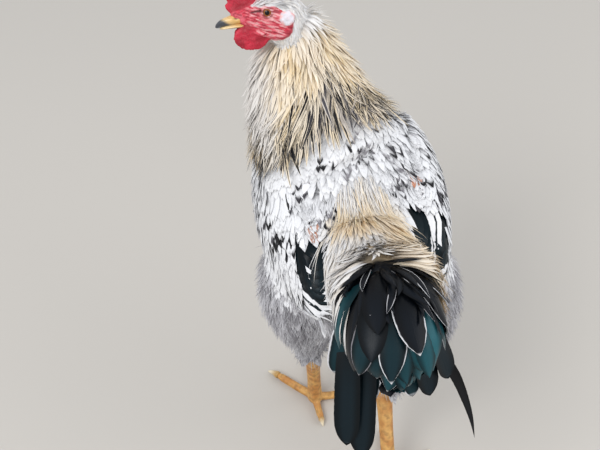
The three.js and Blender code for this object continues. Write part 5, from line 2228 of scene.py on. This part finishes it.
            def keep(roots: np.ndarray, oval: Volume = oval, hand: int = hand) -> np.ndarray:
                # the rows end where the flight feathers begin to show
                last = 34 - (34 if hand > 0 else 46) * ease(302, 322, roots[:, 2])
                return (oval.at(roots) < 2.0) & (roots[:, 1] < last)

            arc = (-0.55, 0.5) if hand > 0 else (0.5, 1.55)
            tract = Tract(FORMS.trunk, WING_PROUD - DEPTH_WING, along=4.6, around=4.6, span=(0.03, 0.9), arc=arc)
            layer = Layer(tract, 66 + hand, keep, self.covert_look, length=(19, 32), half=(2.8, 4.6), rise=6.6,
                          near=6.0, size=size, start=1.5, stiff=0.45, sway=0.12, lift=0.8, thick=0.1)
            self.dress(f"wing_coverts_{side}", self.soft, "white_plumage", layer)

    def flights(self) -> None:
        """The long feathers of each folded wing: blue-black inside, white along the lower edge."""
        skin = self.coat.skin
        share, s = np.linspace(0, 1, FLIGHTS), np.linspace(0, 1, FLIGHT_STEPS)
        for hand, side in HANDS.items():
            chance = np.random.default_rng(70 + hand)
            roots, tips = (np.array(e[0]) + (np.array(e[1], float) - e[0]) * share[:, None]
                           for e in FLIGHT_ROWS[hand])
            tips[:, 1] += 9 * np.sin(share * 9.0) - 14 * share**3
            line = roots[:, None] + (tips - roots)[:, None] * s[None, :, None]
            line[..., 0] += hand * 10 * np.sin(np.pi * s)[None]
            height = 1.0 + (3.8 - 1.6 * share[:, None]) * ease(0.04, 0.34, s) + 2.2 * s[None] ** 2
            for _ in range(3):
                line = line + skin.normal(line) * (height - skin.at(line))[..., None] * 0.8
            way = unit(np.gradient(line, axis=1))
            sides = unit(np.cross(way, skin.normal(line)))
            out = unit(np.cross(sides, way))
            # the marks carry a trace of painted teal sheen
            look = Look.plain(np.tile(WHITE, (FLIGHTS, 1)), blend(BLUE_BLACK, SHEEN_TEAL, 0.04))
            look.stripe = np.array(FLIGHT_DARK[hand]) + chance.uniform(-0.04, 0.04, FLIGHTS)
            look.shift = np.where(look.stripe < 0.7, 0.45 * hand, 0.0)
            vanes = Vanes(line, sides, out, 9.5 - 3.0 * share, Outline(0.3, 3.6, 0.35), Section.WIDE, thick=0.25,
                          camber=0.12, ragged=0.02, seed=71)
            root_uv = np.stack([share * 0.9 + 0.05, np.full(FLIGHTS, 0.5)], -1)
            batch = Batch(vanes, look, root_uv, FLIGHT_PATCH)
            coat_piece(f"wing_flights_{side}", [batch], self.gloss, "black_tail")

    # ---- rump and tail
    def saddle_look(self, tips: np.ndarray, chance: np.random.Generator) -> Look:
        """Rump feathers: white and cream, then golden, then paler and streaked round the tail."""
        count = len(tips)
        x, y, z = tips.T
        patchy = waves(tips, 22.0, 53)
        reach = backward(tips) + 0.5 * np.minimum(x + 10, 0)
        gold = np.clip(0.5 + 0.3 * patchy + chance.normal(0, 0.16, count), 0, 1) * ease(14, 32, y)
        early = ease(36, 12, y + 6 * patchy)
        ground = blend(blend(CREAM, GOLD, gold), blend(WHITE, CREAM, chance.uniform(0, 0.6, count)), early)
        late = ease(52, 62, reach + 3 * patchy) * (1 - 0.7 * ease(-6, -22, x))
        ground = blend(ground, blend(WHITE, CREAM, chance.uniform(0.0, 0.55, count)), late)
        look = Look.plain(self.vary(ground, chance, 0.04), GREY)
        look.mark = ground * 0.78
        look.stripe = np.where(weigh(chance, count, 0.2), 0.1, NO_STRIPE)
        low = ease(60, 72, reach) * ease(335, 312, z)
        streaked = weigh(chance, count, 0.2) & (low > 0.5)
        look.stripe = np.where(streaked, chance.uniform(0.12, 0.35, count), look.stripe)
        look.mark[streaked] = DARK
        return look

    def saddle(self) -> None:
        """The rump's long narrow feathers, falling over the wings' tips and round the tail."""

        def keep_trunk(roots: np.ndarray) -> np.ndarray:
            x, y, z = roots.T
            # a wedge on the back, which widens towards the tail and leaves the left wing's edge free
            return (y > -34) & (y < 70) & (z > 312) & (np.abs(x + 4) < 14 + 0.34 * (y + 34)) & (x < 29)

        def keep_dome(roots: np.ndarray) -> np.ndarray:
            x, y, z = roots.T
            # up to the tail's front edge, but for a parting at its middle
            edge = 84 + 0.3 * np.abs(x - 2) + 18 * ease(14, 30, x) + 3 * waves(roots, 20, 59)
            parting = (np.abs(x - 3) < 9) & (y > 63)
            return (y > 40) & (y < edge) & (z > 304) & ~parting

        def keep_barbs(roots: np.ndarray) -> np.ndarray:
            return keep_trunk(roots) & (roots[:, 1] < 8 + 16 * waves(roots, 11, 76))

        def sideways(roots: np.ndarray) -> np.ndarray:
            return ease(6, 32, np.abs(roots[:, 0] - 2))

        def parted(roots: np.ndarray) -> np.ndarray:
            return sideways(roots) - 0.55 * ease(64, 78, roots[:, 1]) * hump(4, 8, roots[:, 0])

        def flat(roots: np.ndarray) -> np.ndarray:
            return 0.3 * ease(12, 30, roots[:, 0])

        look = self.saddle_look
        trunk = Layer(Tract(FORMS.trunk, -DEPTH_TRUNK, along=3.4, around=2.8, span=(0.4, 0.98), arc=(0.02, 0.98)),
                      73, keep_trunk, look, length=(46, 66), half=(1.3, 2.7), rise=12.0, near=8.0,
                      outline=Outline(0.5, 1.5, 0.3), size=sideways, flat=flat, start=1.5, steps=11, stiff=0.7,
                      sway=0.06, lift=0.6)
        loin = Layer(Tract(FORMS.loin, 0.0, along=4.0, around=3.2, span=(0.16, 0.66), arc=(0.0, 1.0)), 78,
                     keep_trunk, look, length=(34, 66), half=(2.0, 2.9), rise=12.0, near=5.0,
                     outline=Outline(0.5, 1.9, 0.35), size=sideways, flat=flat, start=3.5, steps=10, stiff=0.6,
                     sway=0.05, lift=0.4)
        dome = Layer(Tract(FORMS.dome, -DEPTH_DOME, along=3.5, around=3.0, span=(0.02, 0.7), arc=(0.0, 1.0)), 74,
                     keep_dome, look, length=(32, 62), half=(2.8, 3.0), rise=13.6, near=6.0,
                     outline=Outline(0.5, 2.2, 0.35), size=parted, flat=flat, start=1.5, steps=10, stiff=0.5,
                     sway=0.05, lift=0.4, camber=0.06, steep=0.4)
        tract = Tract(FORMS.trunk, -DEPTH_TRUNK, along=3.0, around=3.0, span=(0.4, 0.9), arc=(0.05, 0.95),
                      jitter=1.5)
        barbs = Strands(tract, 76, keep_barbs, look, length=(20, 44), half=(0.3, 0.55), rise=12.4, near=6.0, start=9.5,
                        steps=7, stiff=0.5, sway=0.1, lift=0.8)
        self.dress("saddle", self.soft, "cream_hackle", trunk, loin, dome, barbs)

    def rimmed(self, look: Look, chance: np.random.Generator, share: float, *widths: float) -> Look:
        """Makes feathers all dark, but for a share of them that keep a pale rim round a wide stripe."""
        rimmed = weigh(chance, len(look.tip), share)
        look.stripe = np.where(rimmed, chance.uniform(*widths, len(rimmed)), ALL_STRIPE)
        look.tip = np.where(rimmed, NO_BAND, ALL_BAND)
        return look

    def covering_look(self, tips: np.ndarray, chance: np.random.Generator) -> Look:
        """Tail coverts: black with thin pale edges, and a blue-green sheen painted low down and towards the right."""
        count = len(tips)
        look = Look.plain(blend(GREY, WHITE, chance.uniform(0, 1, count)), BLUE_BLACK)
        # painted sheen: the marks turn teal low on the dome, most on the right side
        shine = ease(342, 300, tips[:, 2]) * (0.4 + 0.6 * ease(6, -14, tips[:, 0]))
        shine = shine * chance.uniform(0.35, 0.95, count) * weigh(chance, count, 0.75)
        look.mark = blend(look.mark, SHEEN_TEAL * 0.9, shine)
        return self.rimmed(look, chance, 0.38, 0.92, 0.97)

    def front_look(self, tips: np.ndarray, chance: np.random.Generator) -> Look:
        """The small feathers over the tail's front: black, many with a pale rim."""
        look = Look.plain(blend(GREY, WHITE, chance.uniform(0.2, 1, len(tips))), BLUE_BLACK)
        return self.rimmed(look, chance, 0.24, 0.75, 0.94)

    def tail_coverts(self) -> None:
        """The glossy black feathers that cover the tail's dome."""

        def keep(roots: np.ndarray) -> np.ndarray:
            x, y, z = roots.T
            # behind the tail's front edge, which is a V with its point forward
            return (y > 75 + 0.5 * np.abs(x - 2) + 12 * ease(14, 30, x)) & (y < 168) & (z > 296)

        def keep_front(roots: np.ndarray) -> np.ndarray:
            x, y, z = roots.T
            # only the highest part of the dome
            return (y > 80 + 0.5 * np.abs(x - 4) + 14 * ease(10, 26, x)) & (y < 120) & (z > 330)

        def size(roots: np.ndarray) -> np.ndarray:
            return ease(172, 110, roots[:, 1])

        def flat(roots: np.ndarray) -> np.ndarray:
            return 0.55 * ease(12, 28, roots[:, 0])

        wide = {"section": Section.WIDE, "flat": flat}
        main = Layer(Tract(FORMS.dome, -DEPTH_DOME, along=10.0, around=8.5, span=(0.3, 0.97)), 75, keep,
                     self.covering_look, length=(34, 76), half=(7.0, 12.5), rise=11.5, near=9.0,
                     outline=Outline(0.5, 3.4, 0.35), size=size, start=0.8, steps=14, stiff=0.5, sway=0.1,
                     lift=2.0, thick=0.22, camber=0.2, ragged=0.02, **wide)
        front = Layer(Tract(FORMS.dome, -DEPTH_DOME, along=6.0, around=5.0, span=(0.2, 0.8), arc=(0.1, 0.9)), 77,
                      keep_front, self.front_look, length=(26, 52), half=(2.4, 4.0), rise=11.8, near=14.0,
                      outline=Outline(0.5, 2.2, 0.3), start=2.0, steps=11, stiff=0.4, sway=0.08, lift=1.0,
                      thick=0.16, camber=0.14, ragged=0.03, lock=0.45, steep=0.34, **wide)
        self.dress("tail_covert_feathers", self.gloss, "black_tail", main, front)

    def long_feather(self, name: str, node: str, line: np.ndarray, way: np.ndarray, across: np.ndarray,
                     look: Look, **shape) -> None:
        """Makes one main tail feather a piece of its own, over its own solid.

        Args:
            name: the piece's name.
            node: the solid that it stands for.
            line: its middle line.
            way: the line's direction at each point.
            across: the way that its width lies.
            look: its colours.
            **shape: the vane's half width, outline, thickness, camber, raggedness and seed.
        """
        sides = -square_to(across, way)
        out = unit(np.cross(sides, way))
        vanes = Vanes(line[None], sides[None], out[None], section=Section.WIDE, **shape)
        batch = Batch(vanes, look, np.array([[0.5, 0.5]]), TAIL_PATCH)
        coat_piece(name, [batch], self.gloss, "black_tail", (node,))

    def tail_feathers(self) -> None:
        """The main tail feathers, and the narrow curved sickle."""
        s = np.linspace(0, 1, TAIL_STEPS)
        for hand, side in HANDS.items():
            for number, (place, tip, half) in enumerate(TAIL_FEATHERS[hand], 1):
                root, tip = np.array([place, *VANE_ROOT]), np.array(tip, dtype=float)
                line = root + (tip - root) * s[:, None]
                line[:, 2] += VANE_SAG * 4 * s * (1 - s)
                roll = hand * (0.35 + 0.5 * abs(tip[0]) / 54)
                edged = (hand, number) in EDGED_FEATHERS
                # the marks carry a little painted teal sheen, more on the pale-edged feathers
                look = Look.plain(np.array([blend(PALE_GREY, WHITE, 0.5)]),
                                  blend(BLUE_BLACK, SHEEN_TEAL, 0.13 if edged else 0.03))
                look.stripe = np.array([0.86 if edged else ALL_STRIPE])
                look.tip = np.array([NO_BAND if edged else ALL_BAND])
                self.long_feather(f"rectrix_{side}_{number}", f"tail_feather_{side}_{number}", line,
                                  unit(np.gradient(line, axis=0)), np.array([math.cos(roll), 0, -math.sin(roll)]),
                                  look, half=np.array([half]), outline=Outline(0.62, 6.5, 0.5), thick=0.35,
                                  camber=0.14, ragged=0.012, seed=80 + number)
        loft = Loft([row[:4] + [1, 1] for row in SICKLE], (0.05, 0.3))
        line, slope = loft.curve(PLACE, np.linspace(0, 1, SICKLE_STEPS))
        width = loft.curve(SIDE_REACH, np.linspace(0, 1, SICKLE_STEPS))[0]
        look = Look.plain(np.array([DARK]), BLACK)
        look.stripe = np.array([1.2])
        self.long_feather("sickle_right", "tail_sickle_right", line, unit(slope), unit(np.array([0.93, 0.36, 0.0])),
                          look, half=width.max(keepdims=True)[0], outline=Outline(0.25, 1.6, 0.8), thick=0.4,
                          camber=0.16, ragged=0.02, seed=90)

    # ---- down
    def down_look(self, tips: np.ndarray, chance: np.random.Generator) -> Look:
        """Hair-like down: grey to white, with some darker strands."""
        count = len(tips)
        patchy = waves(tips, 26.0, 55)
        ground = blend(GREY, PALE_GREY, np.clip(0.35 + 0.7 * patchy + chance.normal(0, 0.3, count), 0, 1))
        ground = blend(ground, WHITE, chance.uniform(0, 0.75, count) ** 1.5)
        ground = blend(ground, DARK, 0.6 * weigh(chance, count, 0.16))
        return Look.plain(self.vary(ground, chance, 0.06), GREY)

    def fluff(self) -> None:
        """The loose downy feathers of the flanks, thighs and vent, as fine curved strands."""

        def keep(roots: np.ndarray) -> np.ndarray:
            # the thigh below the wing and above the bare shank
            return (roots[:, 2] < 282) & (roots[:, 2] > 112) & (roots[:, 1] > -60)

        def rear(roots: np.ndarray) -> np.ndarray:
            return (roots[:, 2] < 292) & (roots[:, 1] > -50)

        look = self.down_look
        for hand, side in HANDS.items():
            thigh = FORMS.thigh(hand)
            under = Layer(Tract(thigh, -DEPTH_THIGH, along=7.0, around=7.0, span=(0.12, 0.93)), 91 + hand, keep,
                          look, length=(20, 32), half=(4.5, 7.0), rise=8.0, near=8.0,
                          outline=Outline(0.5, 2.6, 0.3), steps=6, sway=0.2, lift=2.0, thick=0.16, camber=0.3,
                          ragged=0.12)
            hair = Strands(Tract(thigh, -DEPTH_THIGH, along=2.5, around=2.6, span=(0.12, 0.95), jitter=1.2),
                           94 + hand, keep, look, length=(16, 30), half=(0.3, 0.5), rise=10.2, near=8.0,
                           start=2.0, lift=3.8, thick=0.3)
            self.dress(f"thigh_fluff_{side}", self.down, "grey_fluff", under, hair)
        tract = Tract(FORMS.trunk, -DEPTH_TRUNK, along=2.8, around=2.8, span=(0.35, 0.99), arc=(0.95, 2.05),
                      jitter=1.2)
        hair = Strands(tract, 98, rear, look, length=(18, 32), half=(0.3, 0.5), rise=10.5, near=8.0, start=2.0,
                       lift=4.0, thick=0.3)
        self.dress("flank_fluff", self.down, "grey_fluff", hair)


# ---------------------------------------------------------------- stage
@dataclass
class Stage:
    """A plain pale floor, soft studio light and the camera."""

    camera_place: tuple = (187.26, 618.99, 1006.55)
    azimuth: float = 12.0
    elevation: float = 47.0
    lens: float = 60.0
    sensor: float = 36.0
    clip: tuple = (0.05, 20.0)
    floor_size: float = 6.0
    floor_roughness: float = 0.9
    sky_colour: tuple = (0.93, 0.96, 1.0, 1.0)
    sky_strength: float = 0.85
    # each lamp's name, place, size in m and power in W
    lamps: tuple = (("key", (1.3, 0.9, 1.9), 1.2, 27.0), ("fill", (-1.6, 0.6, 1.2), 1.6, 14.0))
    lit_place: tuple = (0, 0, 0.25)

    def build(self) -> None:
        """Makes the floor, the lights, the world and the camera."""
        scene = bpy.context.scene
        scene.view_settings.view_transform = "Standard"
        half = self.floor_size / 2
        mesh = bpy.data.meshes.new("floor")
        corners = [(-half, -half, 0), (half, -half, 0), (half, half, 0), (-half, half, 0)]
        mesh.from_pydata(corners, [], [(0, 1, 2, 3)])
        floor = bpy.data.objects.new("floor", mesh)
        scene.collection.objects.link(floor)
        paper = bpy.data.materials.new("pale_floor")
        paper.use_nodes = True
        shader = paper.node_tree.nodes["Principled BSDF"]
        shader.inputs["Base Color"].default_value = rgba(FLOOR_COLOUR)
        shader.inputs["Roughness"].default_value = self.floor_roughness
        mesh.materials.append(paper)
        world = bpy.data.worlds.new("studio")
        scene.world = world
        world.use_nodes = True
        g = Graph(world.node_tree)
        sky = world.node_tree.nodes["Background"]
        sky.inputs["Color"].default_value = self.sky_colour
        sky.inputs["Strength"].default_value = self.sky_strength
        backdrop = g.add("ShaderNodeBackground", {"Color": rgba(BACKDROP_COLOUR), "Strength": 1.0})
        seen = g.add("ShaderNodeLightPath", None, "Is Camera Ray")
        both = g.add("ShaderNodeMixShader", {0: seen, 1: Wire(g, sky.outputs[0]), 2: backdrop})
        g.feed(world.node_tree.nodes["World Output"].inputs["Surface"], both)
        for name, place, size, power in self.lamps:
            lamp = bpy.data.lights.new(name, "AREA")
            lamp.size, lamp.energy = size, power
            made = bpy.data.objects.new(name, lamp)
            made.location = place
            made.rotation_euler = (Vector(self.lit_place) - Vector(place)).to_track_quat("-Z", "Y").to_euler()
            scene.collection.objects.link(made)
        lens = bpy.data.cameras.new("camera")
        lens.lens, lens.sensor_width, lens.sensor_fit = self.lens, self.sensor, "HORIZONTAL"
        lens.clip_start, lens.clip_end = self.clip
        camera = bpy.data.objects.new("camera", lens)
        turn, drop = math.radians(self.azimuth), math.radians(self.elevation)
        way = Vector((-math.sin(turn) * math.cos(drop), -math.cos(turn) * math.cos(drop), -math.sin(drop)))
        camera.location = placed(np.array(self.camera_place))
        camera.rotation_euler = way.to_track_quat("-Z", "Y").to_euler()
        scene.collection.objects.link(camera)
        scene.camera = camera


def write_sizes() -> None:
    """Brings the scene's matrices up to date."""
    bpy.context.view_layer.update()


def main() -> None:
    """Builds the scene: stage, skin, horn, eyes and coat."""
    logging.basicConfig(level=logging.INFO)
    Stage().build()
    shape = SkinShape()
    shape.measure()
    skin = Skin(shape)
    skin.build()
    horn = Horn()
    horn.bill()
    horn.claws()
    horn.eyes(shape.face)
    group = vane_group()
    soft = FeatherFinish("soft_feathers", group, 0.75)
    gloss = FeatherFinish("glossy_feathers", group, 0.6, soft=0.05, barbs=90.0, base=0.9, relief=0.12,
                          specular=0.15, gloss_roughness=0.34, sheen_share=1.0)
    down = FeatherFinish("down", group, 0.85, base=0.75, relief=0.0)
    Plumage(Coat(shape.even_field()), skin, *(f.material() for f in (soft, gloss, down))).build()
    write_sizes()


if __name__ == "__main__":
    main()
